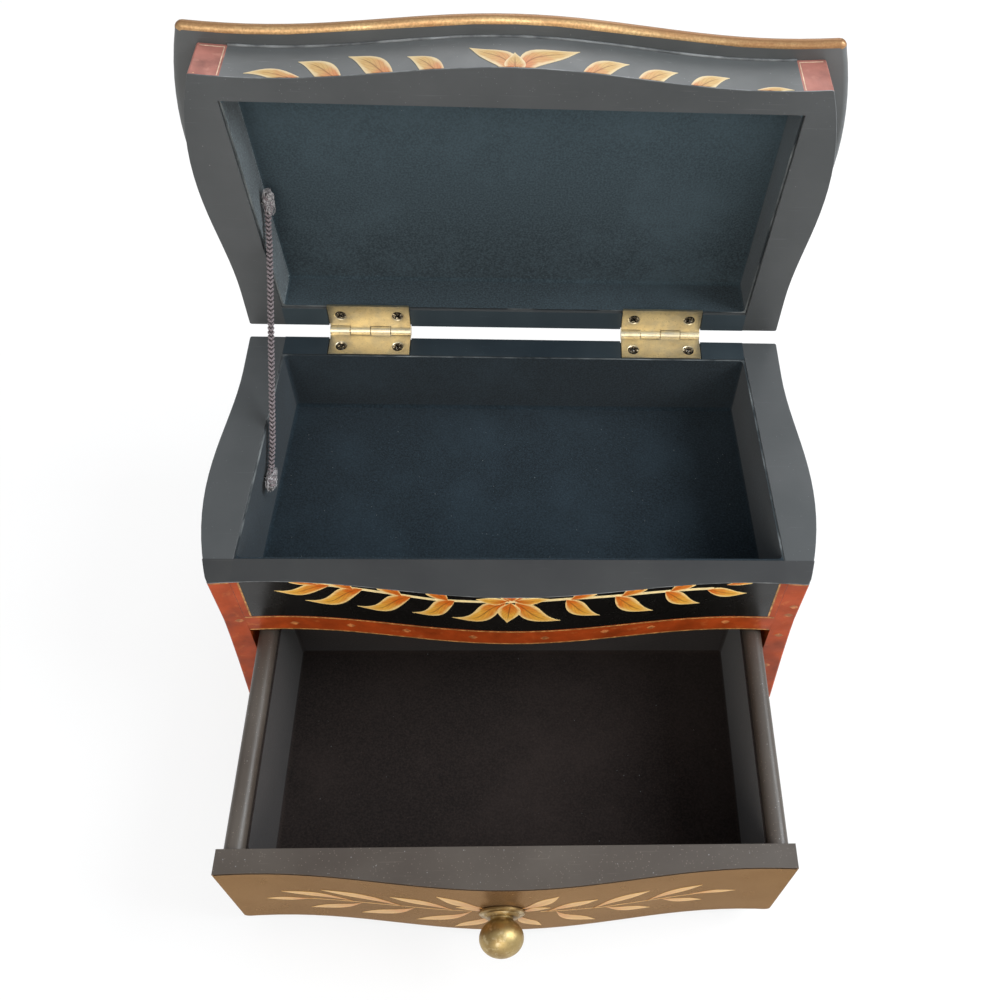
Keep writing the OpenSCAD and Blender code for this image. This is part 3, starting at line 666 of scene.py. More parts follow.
def make_finishes(colours):
    """All the finishes of the chest, made once."""
    knob, collar = (0.47, 0.345, 0.15), (0.32, 0.215, 0.09)
    FINISHES.update(
        black=lacquer("black_lacquer", colours.black, (0.03, 0.03, 0.029), 0.3, 0.07),
        # Painted shade: a darker copy of the black lacquer, for the front frieze.
        deep=lacquer("black_lacquer_painted_shade", (0.004, 0.0036, 0.0032), (0.008, 0.007, 0.006), 0.2, 0.03, 0.3),
        rim=lacquer("rubbed_black_lacquer", colours.black, (0.036, 0.035, 0.033), 0.38, 0.14),
        # Painted light: charcoal, a lighter copy of the black lacquer.
        charcoal=lacquer("charcoal_lacquer", colours.charcoal, (0.062, 0.064, 0.065), 0.4, 0.12),
        # Painted reflection: blue-black and slate are lighter, bluer copies of the black lacquer for the
        # back rims of the case and the lid, standing for cool light.
        blue=lacquer("blue_black_lacquer_painted_reflection", (0.012, 0.019, 0.025), (0.024, 0.034, 0.04), 0.42, 0.14, 0.4),
        slate=lacquer("slate_lacquer_painted_reflection", (0.026, 0.037, 0.045), (0.04, 0.055, 0.063), 0.42, 0.14, 0.4),
        umber=lacquer("umber_lacquer", colours.umber, (0.074, 0.06, 0.048), 0.36, 0.45),
        # Painted reflection: brown base, partly metallic, with a brown tinted gloss, for the drawer front.
        brown=lacquer("brown_reflection_lacquer", colours.brown, (0.29, 0.172, 0.082), 0.17, 0.06, 0.0, 0.62,
                      (0.6, 0.52, 0.45)),
        # Painted shadow: the dark line along the drawer front's top edge.
        shadow=lacquer("painted_shadow_lacquer", (0.03, 0.022, 0.017), (0.05, 0.036, 0.028), 0.5, 0.0, 0.0),
        # Painted reflection: a lighter copy of the black lacquer, for the lid's front and the underside of
        # its top.
        faded=lacquer("faded_lacquer", colours.faded, (0.108, 0.111, 0.111), 0.42, 0.12),
        red=red_lacquer("red_lacquer", colours.red, (0.52, 0.15, 0.04)),
        # Painted reflection: a pinker, lighter copy of the red lacquer for the lid's corner blocks.
        pink=red_lacquer("faded_red_lacquer", colours.pink, (0.45, 0.22, 0.17)),
        lid_gold=gold_edge("lid_gold_edge", colours.gold, (0.06, 1, 0.06), "lid_top", "Y"),
        base_gold=gold_edge("base_gold_edge", colours.gold, (0.06, 0.06, 1), "base_board", "Z"),
        leaf=leaf_paint("leaf_paint", colours.leaf, colours.blush, colours.cream, 0.9),
        # Paler, duller leaf colours for the lid's front: painted reflection, as on the lid's lacquer.
        lid_leaf=leaf_paint(
            "faded_leaf_paint", (0.47, 0.31, 0.12), (0.46, 0.17, 0.07), (0.58, 0.47, 0.29), 0.85),
        drawer_leaf=leaf_paint(
            "slender_leaf_paint", (0.56, 0.32, 0.10), (0.50, 0.21, 0.05), (0.66, 0.43, 0.17), 0.4),
        line=line_paint("gold_line", (0.56, 0.27, 0.085)),
        fleck=line_paint("cream_fleck", (0.62, 0.21, 0.065)),
        stem=line_paint("gold_stem", (0.9, 0.7, 0.36), 0.9),
        drawer_stem=line_paint("tan_stem", (0.55, 0.31, 0.1), 0.8),
        pale_line=line_paint("pale_line", (0.6, 0.42, 0.3), 0.7),
        flock=flock("blue_black_flock", colours.flock, 0.2),
        # Painted light: the lid's flock is lighter than the tray's, and lighter still higher up the open
        # lid.
        lid_flock=flock("teal_black_flock", colours.lid_flock, 0.12, (0.12, 0.2)),
        # Lighter flock for the lid lining's left wall: painted light, as if lit from the right.
        brushed_flock=flock("brushed_flock", (0.105, 0.122, 0.129), 0.3),
        # Painted light: the drawer's flock is tinted brown for warm bounced light.
        drawer_flock=flock("warm_lit_brown_flock", colours.drawer_flock, 0.12),
        worn=mottled("worn_edge", (0.06, 0.063, 0.065), (0.2, 0.205, 0.205), (130, 5), 0.38, 0.62,
                     Roughness=0.7),
        rubbed=mottled("rubbed_rim", (0.022, 0.027, 0.03), (0.17, 0.18, 0.18), (48, 6), 0.46, 0.66,
                       Roughness=0.85, Specular_IOR_Level=0.2),
        brass=aged_brass("aged_brass", colours.brass, 0.28, 0.0, (0.53, 0.48, 0.38)),
        knob=aged_brass("antique_brass", knob, 0.75, 0.12, rgba(knob, 0.8)),
        collar=aged_brass("dark_brass", collar, 0.6, 0.1, rgba(collar, 0.8)),
        bronze=dark_bronze("dark_bronze", colours.bronze),
        cord=yarn("cord_yarn", colours.cord),
        cord_end=yarn("loose_yarn", (0.17, 0.16, 0.16), 1150, 0.1, 3.6),
        cord_core=yarn("cord_core_yarn", rgba(colours.cord, 0.2)),
        board=plain_board("plain_board", colours),
        tray_board=plain_board("edge_painted_board", colours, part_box("tray_floor")[1].y - 0.3 * MM),
        felt=mottled("base_felt_cloth", (0.012, 0.012, 0.012), (0.05, 0.05, 0.05), (1200, 4), 0.3, 0.7,
                     (0.15, 0.7), Roughness=1.0, Sheen_Weight=0.2),
    )


# Painted strokes

def strip(start, end, steps, rows, spread):
    """A flat strip before the board, in millimetres, spread aside by its share and its row."""
    deselect()
    bpy.ops.mesh.primitive_grid_add(x_subdivisions=steps, y_subdivisions=rows, size=1, location=(0, 0, 0))
    piece = bpy.context.object
    first = Vector(start)
    run = Vector(end) - first
    side = Vector((-run.y, run.x)) / run.length
    for v in piece.data.vertices:
        t = v.co.x + 0.5
        at = first + run * t + side * spread(t, v.co.y, run.length)
        v.co = (at.x * MM, PAINT_START_Y, at.y * MM)
    return piece


def stroke(base, tip, width, bend, flick=0.0, fullest=1.0, steps=14):
    """One leaf-shaped stroke."""
    def spread(t, row, reach):
        half = width / 2 * max(0.0, math.sin(math.pi * t ** fullest)) ** 1.2
        sway = math.sin(math.pi * t) + flick * math.sin(2 * math.pi * t)
        return bend * reach * sway + 2 * row * half

    return strip(base, tip, steps, 6, spread)


def line(start, end, width, steps=8):
    """One thin straight line."""
    return strip(start, end, steps, 1, lambda t, row, reach: row * width)


def laid_on(piece, board, thickness):
    """Lay a flat sheet of strokes onto a board along +Y and give it the paint's thickness."""
    wrap = piece.modifiers.new("onto_board", "SHRINKWRAP")
    wrap.target = board
    wrap.wrap_method = "PROJECT"
    wrap.wrap_mode = "ABOVE_SURFACE"
    wrap.use_project_y = True
    wrap.use_positive_direction = True
    wrap.use_negative_direction = False
    wrap.offset = thickness
    apply(piece, wrap)
    merge_doubles(piece)
    thick = piece.modifiers.new("paint", "SOLIDIFY")
    thick.thickness = thickness
    thick.offset = -1
    apply(piece, thick)
    return piece


def painted(strips, name, board, thickness, body, finish, slot="gilt_edge"):
    """Strips that are laid on a board as one piece. The lid's boards are closed meanwhile."""
    target = bpy.data.objects[board]
    if body == "lid":
        moved(target, CLOSE)
    piece = laid_on(joined(strips, name), target, thickness)
    if body == "lid":
        moved(target, OPEN)
        moved(piece, OPEN)
    place(piece, body, slot, finish)


def cut_level(piece, height, keep_above):
    """Cut a sheet of strokes at a height and keep what lies above or below."""
    editing(piece)
    bpy.ops.mesh.bisect(plane_co=(0, 0, height), plane_no=(0, 0, 1),
                        clear_inner=keep_above, clear_outer=not keep_above)
    done_editing()


# Pieces

class CHEST_OT_studio(bpy.types.Operator):
    """Camera at the viewing angle, a pale floor and soft light"""

    bl_idname = "chest.studio"
    bl_label = "Studio"

    def execute(self, context):
        scene = context.scene
        scene.view_settings.view_transform = "Standard"
        self.camera(scene)
        self.floor()
        self.sky(scene)
        for lamp in LAMPS:
            self.lamp(*lamp)
        return {"FINISHED"}

    def camera(self, scene):
        pitch, yaw, roll = (math.radians(a) for a in CAMERA_TURN)
        ahead = Vector((math.sin(yaw) * math.cos(pitch), math.cos(yaw) * math.cos(pitch), -math.sin(pitch)))
        level = Vector((math.cos(yaw), -math.sin(yaw), 0))
        above = level.cross(ahead)
        right = math.cos(roll) * level + math.sin(roll) * above
        top = -math.sin(roll) * level + math.cos(roll) * above
        data = bpy.data.cameras.new("camera")
        data.sensor_width = 36
        data.lens = scene.chest_sizes.lens
        data.shift_x, data.shift_y = CAMERA_SHIFT
        data.clip_start = 0.01
        scene.camera = linked("camera", data)
        turn = Matrix((right, top, -ahead)).transposed().to_4x4()
        scene.camera.matrix_world = Matrix.Translation(CAMERA_AT) @ turn

    def floor(self):
        """Nearly white where it is seen or mirrored, and a pale floor to all other light."""
        deselect()
        bpy.ops.mesh.primitive_plane_add(size=8, location=(0, 0, 0))
        floor = bpy.context.object
        floor.name = "floor"
        paint = Finish("pale_floor", (0.86, 0.85, 0.84), Roughness=0.8, Specular_IOR_Level=0.1)
        paint.over(paint.grain(3, 2), (0.9, 0.895, 0.89))
        ray = paint.put("LightPath")
        mirrored = paint.maths("MAXIMUM", ray["Is Glossy Ray"], ray["Is Transmission Ray"])
        seen = paint.maths("MAXIMUM", ray["Is Camera Ray"], mirrored)
        white = paint.put("Emission", {"Color": (1, 1, 1, 1), "Strength": 1.0})
        share = paint.maths("MULTIPLY", seen, 0.8)
        surface = paint.put("MixShader", {0: share, 1: paint.shader.outputs[0], 2: white[0]})
        paint.feed(paint.tree.nodes["Material Output"].inputs["Surface"], surface[0])
        floor.data.materials.append(paint.done())

    def sky(self, scene):
        world = bpy.data.worlds.new("soft_room")
        scene.world = world
        world.use_nodes = True
        room = Nodes(world.node_tree)
        back = room.tree.nodes["Background"]
        height = room.put("SeparateXYZ", {"Vector": room.put("TexCoord")["Generated"]})["Z"]
        tone = room.mixed(room.between(height, -0.1, 0.9), (0.55, 0.54, 0.52, 1), (0.9, 0.95, 1.0, 1))
        room.feed(back.inputs["Color"], tone)
        back.inputs["Strength"].default_value = 0.75

    def lamp(self, name, spot, size, power, colour):
        data = bpy.data.lights.new(name, "AREA")
        data.shape = "DISK"
        data.size = size
        data.energy = power
        data.color = colour
        lamp = linked(name, data)
        lamp.location = spot
        lamp.rotation_mode = "QUATERNION"
        lamp.rotation_quaternion = (LAMP_AIM - Vector(spot)).to_track_quat("-Z", "Y")


class CHEST_OT_cord_stay(bpy.types.Operator):
    """Braided cord that holds the lid open"""

    bl_idname = "chest.cord_stay"
    bl_label = "Cord stay"

    def execute(self, context):
        sizes = context.scene.chest_sizes
        route = self.smooth_route([Vector(p) * MM for p in CORD_ROUTE], 10)
        lengths = [0.0]
        for a, b in zip(route, route[1:]):
            lengths.append(lengths[-1] + (b - a).length)
        self.sizes, self.route, self.lengths = sizes, route, lengths
        data = tube("braided_cord", sizes.cord * 0.14)
        for finish in ("cord", "cord_core", "cord_end"):
            data.materials.append(FINISHES[finish])
        for column in range(sizes.plait_columns):
            for step in range(int(lengths[-1] / sizes.plait_pitch) - 1):
                run_along(data, self.strand(column, step))
        core = []
        for at, along in zip(route, lengths):
            swell, aside = self.loosened(along)
            core.append((at + aside, 2.1 * swell))
        run_along(data, core).material_index = 1
        for points in self.frayed():
            run_along(data, points).material_index = 2
        cord = meshed(data)
        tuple(route[14])
        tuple(route[-14])
        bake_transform(cord)
        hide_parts("stay_cord")
        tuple(route[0])
        return {"FINISHED"}

    def smooth_route(self, points, steps):
        """The route with its corners rounded, as a curve through its points."""
        ends = [2 * points[0] - points[1], *points, 2 * points[-1] - points[-2]]
        made = []
        for a, b, c, d in zip(ends, ends[1:], ends[2:], ends[3:]):
            for i in range(steps):
                t = i / steps
                made.append(0.5 * (2 * b + (c - a) * t + (2 * a - 5 * b + 4 * c - d) * t ** 2
                                   + (3 * b - a - 3 * c + d) * t ** 3))
        return made + [points[-1]]

    def strand(self, column, step):
        """One short strand of a column, tucked in at both ends."""
        pitch = self.sizes.plait_pitch
        lean = 1 if column % 2 else -1
        start = (step + (0.5 if lean > 0 else 1.4)) * pitch
        points = []
        for i in range(7):
            t = i / 6
            bulge = math.sin(math.pi * t)
            turn = 2 * math.pi * (column - 0.08 + 1.16 * t) / self.sizes.plait_columns + 0.35
            along = start + lean * (t - 0.5) * 0.9 * pitch
            swell, aside = self.loosened(along)
            spot = self.beside(along, turn, swell * self.sizes.cord * (0.27 + 0.08 * bulge))
            points.append((spot + aside, swell * (0.8 + 0.2 * bulge)))
        return points

    def loosened(self, along):
        """How much thicker the cord is near its ends, and how far it stands off the wall there."""
        near_end = max(0.0, 1.0 - min(along, self.lengths[-1] - along) / self.sizes.tuft)
        swell = 1 + 0.55 * math.sin(min(1.0, 1.25 * near_end) * math.pi / 2)
        return swell, Vector(((swell - 1) * 0.45 * self.sizes.cord, 0, 0))

    def beside(self, along, turn, radius):
        """A place beside the middle line."""
        along = min(max(along, 0.0), self.lengths[-1])
        k = max(i for i, reached in enumerate(self.lengths[:-1]) if reached <= along)
        ahead = (self.route[k + 1] - self.route[k]).normalized()
        side = ahead.cross(Vector((1, 0, 0))).normalized()
        out = side.cross(ahead)
        spot = self.route[k] + ahead * (along - self.lengths[k])
        return spot + radius * (math.cos(turn) * out + math.sin(turn) * side)

    def frayed(self):
        """Loose yarns that close each end of the cord."""
        chance = random.Random(11)
        ends = ((0.0, -1, self.route[0] - self.route[1]),
                (self.lengths[-1], 1, self.route[-1] - self.route[-2]))
        for end, ahead, run in ends:
            aside = self.loosened(end)[1]
            for _ in range(120):
                turn = 2 * math.pi * chance.random()
                twist = chance.uniform(-0.35, 0.35)
                full = chance.uniform(0.45, 0.78)
                start = chance.uniform(2.0, 8.0)
                points = []
                for share, radius in ((1, 0.8), (0.75, 1), (0.5, 0.98), (0.25, 0.92), (0, 0.55)):
                    along = end - ahead * share * start * MM
                    spot = self.beside(along, turn + twist * share * start, radius * full * self.sizes.cord)
                    if not share:
                        spot += run.normalized() * chance.uniform(0.0, 1.1) * MM
                    spot += Vector([chance.gauss(0, 0.16) for _ in range(3)]) * MM
                    points.append((spot + aside, 0.2))
                yield points


class CHEST_OT_case_boards(bpy.types.Operator):
    """Black sides, back and frieze of the case"""

    bl_idname = "chest.case_boards"
    bl_label = "Case boards"

    def execute(self, context):
        joints = [*both(POST_X), *both(TRAY_X), (1, WALL_Y), (2, RAIL_TOP)]
        # The side rims get charcoal, a lighter copy of the black lacquer: painted light.
        for node, finish, rim in (("side_left", "black", "charcoal"), ("side_right", "black", "charcoal"),
                                  # The back rims get blue-black: painted reflection of cool light.
                                  ("back_rail", "black", "blue"), ("back_panel", "black", "blue"),
                                  # The frieze gets the darker black: painted shade.
                                  ("front_frieze", "deep", "black")):
            lacquered(node, "lacquered_", "case", "black_lacquer", finish, rim, joints, node != "back_rail")
        return {"FINISHED"}


class CHEST_OT_red_frame(bpy.types.Operator):
    """Red posts, drawer rail and corner blocks of the lid"""

    bl_idname = "chest.red_frame"
    bl_label = "Red frame"

    def execute(self, context):
        joints = [*both(POST_X), (1, WALL_Y), (2, RAIL_TOP)]
        for node in ("post_left", "post_right", "drawer_rail"):
            lacquered(node, "red_", "case", "red_lacquer", "red", "rim", joints)
        joints = [*both(BLOCK_X), (1, WALL_Y)]
        for node in ("lid_block_left", "lid_block_right"):
            # The lid's corner blocks get the pinker red of painted reflection.
            lacquered(node, "red_", "lid", "red_lacquer", "pink", "charcoal", joints)
        return {"FINISHED"}


class CHEST_OT_nosed_boards(bpy.types.Operator):
    """Lid top and base board with gold half-round edges"""

    bl_idname = "chest.nosed_boards"
    bl_label = "Nosed boards"

    def execute(self, context):
        base = self.board("base_board", None)
        paint_faces(base, "base_gold", lambda at, normal: abs(normal.z) < 0.9)
        place(base, "case", "gilt_edge", None, "base_board")
        top = self.board("lid_top", CLOSE)
        # Painted reflection: the underside of the lid's top gets the lighter copy of the black lacquer.
        paint_faces(top, "faded", lambda at, normal: normal.z < -0.2)
        paint_faces(top, "lid_gold", self.gilt)
        moved(top, OPEN)
        place(top, "lid", "gilt_edge", None, "lid_top")
        return {"FINISHED"}

    def board(self, node, matrix):
        piece = board_copy(node, "gilt_" + node, matrix)
        shaded(piece, math.radians(40))
        piece.data.materials.append(FINISHES["black"])
        return piece

    def gilt(self, at, normal):
        """The whole of the front edge, and only the outer face of the others."""
        level = math.hypot(normal.x, normal.y)
        return level > LEANING and (normal.y < -0.5 * level or abs(normal.z) < 0.3)


class CHEST_OT_lid_walls(bpy.types.Operator):
    """Black walls of the lid"""

    bl_idname = "chest.lid_walls"
    bl_label = "Lid walls"

    def execute(self, context):
        joints = [*both(BLOCK_X), *both(TRAY_X), (1, WALL_Y), (2, LID_HIGH)]
        # Painted light: the lid's sides, back and rims are charcoal, a lighter copy of the black lacquer.
        for node, finish, rim in (
                # The lid's front gets a lighter copy of the black lacquer: painted reflection.
                ("lid_front", "faded", "charcoal"), ("lid_side_left", "charcoal", "charcoal"),
                # The lid's back rim gets slate: painted reflection of cool light.
                ("lid_side_right", "charcoal", "charcoal"), ("lid_back", "charcoal", "slate")):
            lacquered(node, "lacquered_", "lid", "black_lacquer", finish, rim, joints, node != "lid_back")
        return {"FINISHED"}


class CHEST_OT_drawer_box(bpy.types.Operator):
    """Drawer front, sides and back"""

    bl_idname = "chest.drawer_box"
    bl_label = "Drawer box"

    def execute(self, context):
        for node in ("drawer_front", "drawer_side_left", "drawer_side_right", "drawer_back"):
            piece = eased(board_copy(node, "lacquered_" + node), context.scene.chest_sizes.ease)
            piece.data.materials.append(FINISHES["umber"])
            if node == "drawer_front":
                # Painted reflection: the drawer's front face gets the brown lacquer.
                paint_faces(piece, "brown", lambda at, normal: normal.y < -0.5)
            place(piece, "drawer", "black_lacquer", None, node)
        return {"FINISHED"}


class CHEST_OT_linings(bpy.types.Operator):
    """Flocked linings of the tray, the lid and the drawer"""

    bl_idname = "chest.linings"
    bl_label = "Linings"

    def execute(self, context):
        sizes = context.scene.chest_sizes
        for node, body, finish in (("tray_lining", "case", "flock"), ("lid_lining", "lid", "lid_flock"),
                                   ("drawer_lining", "drawer", "drawer_flock")):
            lid = body == "lid"
            set_back = sizes.lid_lining_set if lid else 0.0
            piece, rim, depth = self.box(node, CLOSE if lid else Matrix(), -1 if lid else 1, set_back)
            self.hollow(piece, rim, depth, sizes.lining_round)
            shaded(piece, math.radians(50))
            piece.data.materials.append(FINISHES[finish])
            if lid:
                # Painted light: the lid lining's left wall gets a much lighter flock.
                paint_faces(piece, "brushed_flock", lambda at, normal: normal.x > 0.8 and at.x < 0)
            if body != "drawer":
                front = min(v.co.y for v in piece.data.vertices) + 1 * MM
                paint_faces(piece, "rubbed",
                            lambda at, normal: abs(at.z - rim) < 0.02 * MM and at.y > front)
            if lid:
                moved(piece, OPEN)
            place(piece, body, "flock", None, node)
        return {"FINISHED"}

    def box(self, node, matrix, up, set_back):
        """A block between the outer corners of a lining, with the place of its rim and its depth."""
        points = [matrix @ v.co for v in frame["nodes"][node].data.vertices]
        levels = sorted({round(up * p.z, 6) for p in points})
        back, floor, rim = up * levels[0], up * levels[1], up * levels[-1] - up * set_back
        outside = [p for p in points if abs(p.z - back) < 1e-5]
        deselect()
        bpy.ops.mesh.primitive_cube_add(size=2, location=(0, 0, 0))
        piece = bpy.context.object
        piece.name = "flocked_" + node
        for v in piece.data.vertices:
            corner = max(outside, key=lambda p: p.x * v.co.x + p.y * v.co.y)
            v.co = (corner.x, corner.y, rim if v.co.z * up > 0 else back)
        return piece, rim, floor - rim

    def hollow(self, piece, rim, depth, rounding):
        """Inset the open face, push it down to the floor and round what faces the inside."""
        heights = [abs(v.co.z - rim) for v in piece.data.vertices]
        wall = min(height for height in heights if height > SAME) - abs(depth)
        middle = sum((v.co for v in piece.data.vertices), Vector()) / 8

        def inward(face):
            return (middle - face.calc_center_median()).dot(face.normal) > 2 * MM

        editing(piece, "DESELECT")
        pick(piece, "FACE", lambda face: abs(face.calc_center_median().z - rim) < SAME)
        bpy.ops.mesh.inset(thickness=wall)
        bpy.ops.mesh.extrude_region_move(TRANSFORM_OT_translate={"value": (0, 0, depth)})
        pick(piece, "EDGE", lambda edge: all(inward(face) for face in edge.link_faces))
        bpy.ops.mesh.bevel(offset=rounding, segments=4, affect="EDGES")
        done_editing()


class CHEST_OT_hinges(bpy.types.Operator):
    """Brass hinge leaves and their pins"""

    bl_idname = "chest.hinges"
    bl_label = "Hinges"

    def execute(self, context):
        for hand in ("left", "right"):
            for body in ("case", "lid"):
                node = f"hinge_{body}_leaf_{hand}"
                piece = eased(board_copy(node, "brass_" + node), context.scene.chest_sizes.metal_ease)
                place(piece, body, "brass", "brass", node)
            refinish("hinge_pin_" + hand, "brass")
        return {"FINISHED"}


class CHEST_OT_screws(bpy.types.Operator):
    """Cross-head screws of the hinges and of the cord"""

    bl_idname = "chest.screws"
    bl_label = "Screws"

    def execute(self, context):
        for body in ("case", "lid"):
            self.leaf_screws(f"hinge_{body}_screws", body)
        for body in ("case", "lid"):
            self.stay_screw("stay_screw_" + body, body)
        return {"FINISHED"}

    def head(self, radius, height, dome, drive):
        """A screw head about +Z with its top at zero, slightly domed, with a cross recess."""
        deselect()
        bpy.ops.mesh.primitive_cylinder_add(
            vertices=32, radius=radius, depth=height, location=(0, 0, -height / 2), end_fill_type="NGON")
        head = bpy.context.object
        settle(head)
        editing(head, "DESELECT")
        pick(head, "FACE", lambda face: face.normal.z > 0.9)
        bpy.ops.mesh.inset(thickness=radius * 0.18, depth=dome * 0.6)
        bpy.ops.mesh.inset(thickness=radius * 0.35, depth=dome * 0.4)
        done_editing()
        for turn in (0, math.pi / 2):
            deselect()
            bpy.ops.mesh.primitive_cube_add(size=1, location=(0, 0, 0), rotation=(0, 0, turn + 0.6))
            slot = bpy.context.object
            slot.scale = (radius * 1.2, drive, height)
            settle(slot)
            cut = head.modifiers.new("cross", "BOOLEAN")
            cut.operation = "DIFFERENCE"
            cut.object = slot
            apply(head, cut)
            bpy.data.objects.remove(slot)
        return head

    def leaf_screws(self, node, body):
        """The heads in the leaves of one body, nearly as wide as their solids and sunk a little."""
        lid = body == "lid"
        points = [CLOSE @ v.co if lid else v.co for v in frame["nodes"][node].data.vertices]
        face_z = (min if lid else max)(p.z for p in points)
        turned = Matrix.Rotation(math.pi, 4, "X") if lid else Matrix.Identity(4)
        sink = Matrix.Translation((0, 0, -0.22 * MM))
        tops = [p for p in points if abs(p.z - face_z) < 1e-5]
        made = []
        for x0, x1 in self.runs(sorted(p.x for p in tops)):
            depths = [p.y for p in tops if x0 <= p.x <= x1]
            middle = Vector(((x0 + x1) / 2, (min(depths) + max(depths)) / 2, face_z))
            head = self.head((x1 - x0) / 2 * 0.99, 1.3 * MM, 0.12 * MM, 0.55 * MM)
            moved(head, Matrix.Translation(middle) @ turned @ sink)
            made.append(head)
        piece = joined(made, "cross_head_" + node)
        if lid:
            moved(piece, OPEN)
        shaded(piece)
        place(piece, body, "bronze", "bronze", node)

    def runs(self, places):
        """Split sorted places into groups that lie apart, as their first and last."""
        groups = [[places[0], places[0]]]
        for spot in places[1:]:
            if spot - groups[-1][1] > 6 * MM:
                groups.append([spot, spot])
            groups[-1][1] = spot
        return groups

    def stay_screw(self, node, body):
        low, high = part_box(node)
        head = self.head((high.z - low.z) / 2 * 0.5, 1.2 * MM, 0.3 * MM, 0.5 * MM)
        middle = Vector((high.x - 1.3 * MM, (low.y + high.y) / 2, (low.z + high.z) / 2))
        moved(head, Matrix.Translation(middle) @ Matrix.Rotation(math.pi / 2, 4, "Y"))
        deselect()
        reach = high.x - low.x - 2.2 * MM
        bpy.ops.mesh.primitive_cylinder_add(
            vertices=16, radius=0.65 * MM, depth=reach, location=(low.x + reach / 2, middle.y, middle.z),
            rotation=(0, math.pi / 2, 0))
        shank = bpy.context.object
        settle(shank)
        editing(shank)
        bpy.ops.mesh.bevel(offset=0.1 * MM, segments=2, affect="EDGES")
        done_editing()
        piece = joined([head, shank], "cross_head_" + node)
        shaded(piece)
        place(piece, body, "bronze", "bronze", node)


class CHEST_OT_knob(bpy.types.Operator):
    """Turned ball knob and its collar"""

    bl_idname = "chest.knob"
    bl_label = "Knob"

    def execute(self, context):
        low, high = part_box("knob")
        seat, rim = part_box("knob_collar")
        middle = (low + high) / 2
        here = Vector((middle.x, rim.y, middle.z))
        thick, wide = rim.y - seat.y, (rim.x - seat.x) / 2
        ball, neck, flat = (high.x - low.x) / 2, 4 * MM, 0.84
        start = math.asin(neck / ball)
        out = rim.y - (low.y + ball) - (1 - flat) * ball * math.cos(start)
        arc = [start + (math.pi - start) * i / 22 for i in range(23)]
        profile = [(0.0, thick), (neck * 0.92, thick)]
        profile += [(neck * 0.92, out - flat * ball * math.cos(start) - 0.5 * MM)]
        profile += [(ball * math.sin(a), out - flat * ball * math.cos(a)) for a in arc]
        place(self.turned("turned_knob", profile, here), "drawer", "brass", "knob", "knob")
        steps = ((0.3, 0), (0, 0.3), (0, 0.9), (0.4, 1.25), (1.3, 1.35), (1.6, 1.75))
        profile = [(0.0, 0.0)]
        profile += [(wide - inward * MM, reach * MM) for inward, reach in steps]
        profile += [(wide - 2.2 * MM, thick), (0.0, thick)]
        place(self.turned("turned_collar", profile, here), "drawer", "brass", "collar", "knob_collar")
        return {"FINISHED"}

    def turned(self, name, profile, here):
        """Extrude a point along a profile of radius and reach, and spin it about the knob's axis."""
        deselect()
        bpy.ops.mesh.primitive_plane_add(size=0.001, location=(0, 0, 0))
        piece = bpy.context.object
        piece.name = name
        editing(piece)
        bpy.ops.mesh.merge(type="CENTER")
        bpy.ops.transform.translate(value=here + Vector((profile[0][0], -profile[0][1], 0)))
        for a, b in zip(profile, profile[1:]):
            bpy.ops.mesh.extrude_region_move(
                TRANSFORM_OT_translate={"value": (b[0] - a[0], -(b[1] - a[1]), 0)})
        bpy.ops.mesh.select_all(action="SELECT")
        bpy.ops.mesh.spin(steps=64, angle=2 * math.pi, center=here, axis=(0, 1, 0))
        bpy.ops.mesh.select_all(action="SELECT")
        bpy.ops.mesh.remove_doubles(threshold=SAME)
        bpy.ops.mesh.normals_make_consistent(inside=False)
        done_editing()
        settle(piece)
        bpy.ops.object.shade_smooth_by_angle(angle=SHARP)
        return piece


class CHEST_OT_vines(bpy.types.Operator):
    """Painted vines on the frieze, the lid and the drawer front"""

    bl_idname = "chest.vines"
    bl_label = "Painted vines"

    def execute(self, context):
        sizes = context.scene.chest_sizes
        inside = sizes.ease * 1.1
        seam = RIM_Z - inside
        self.leaves(FRONT_STROKES, "front_frieze", "case", "leaf", sizes.paint, seam)
        self.leaves(FRONT_STROKES, "lid_front", "lid", "lid_leaf", sizes.paint, LID_LOW + inside)
        self.stems(FRONT_STEMS, "front_frieze", "case", "stem", sizes.paint, sizes.stem, seam)
        self.leaves(DRAWER_STROKES, "drawer_front", "drawer", "drawer_leaf", sizes.paint)
        self.stems(DRAWER_STEMS, "drawer_front", "drawer", "drawer_stem", sizes.paint, sizes.drawer_stem)
        return {"FINISHED"}

    def leaves(self, layers, part, body, finish, paint, seam=None):
        """Lay the layers of leaves on a board, cut at the seam where one is given."""
        board = bpy.data.objects["lacquered_" + part]
        lid = body == "lid"
        if lid:
            moved(board, CLOSE)
        made = []
        for number, (flick, fullest, strokes) in enumerate(layers):
            sheet = joined([stroke(*leaf, flick, fullest) for leaf in strokes], f"paint_layer_{number}")
            if seam is not None:
                cut_level(sheet, seam, lid)
            made.append(laid_on(sheet, board, paint * (2 + 0.7 * number)))
        piece = joined(made, "painted_leaves_" + part)
        if lid:
            moved(board, OPEN)
            moved(piece, OPEN)
        place(piece, body, "gilt_edge", finish)

    def stems(self, stems, part, body, finish, paint, width, seam=None):
        """Lay the stems of a vine on a board, under its leaves."""
        strips = [line(a, b, width / MM) for stem in stems for a, b in zip(stem, stem[1:])]
        piece = joined(strips, "painted_stem_" + part)
        if seam is not None:
            cut_level(piece, seam, False)
        place(laid_on(piece, bpy.data.objects["lacquered_" + part], paint), body, "gilt_edge", finish)


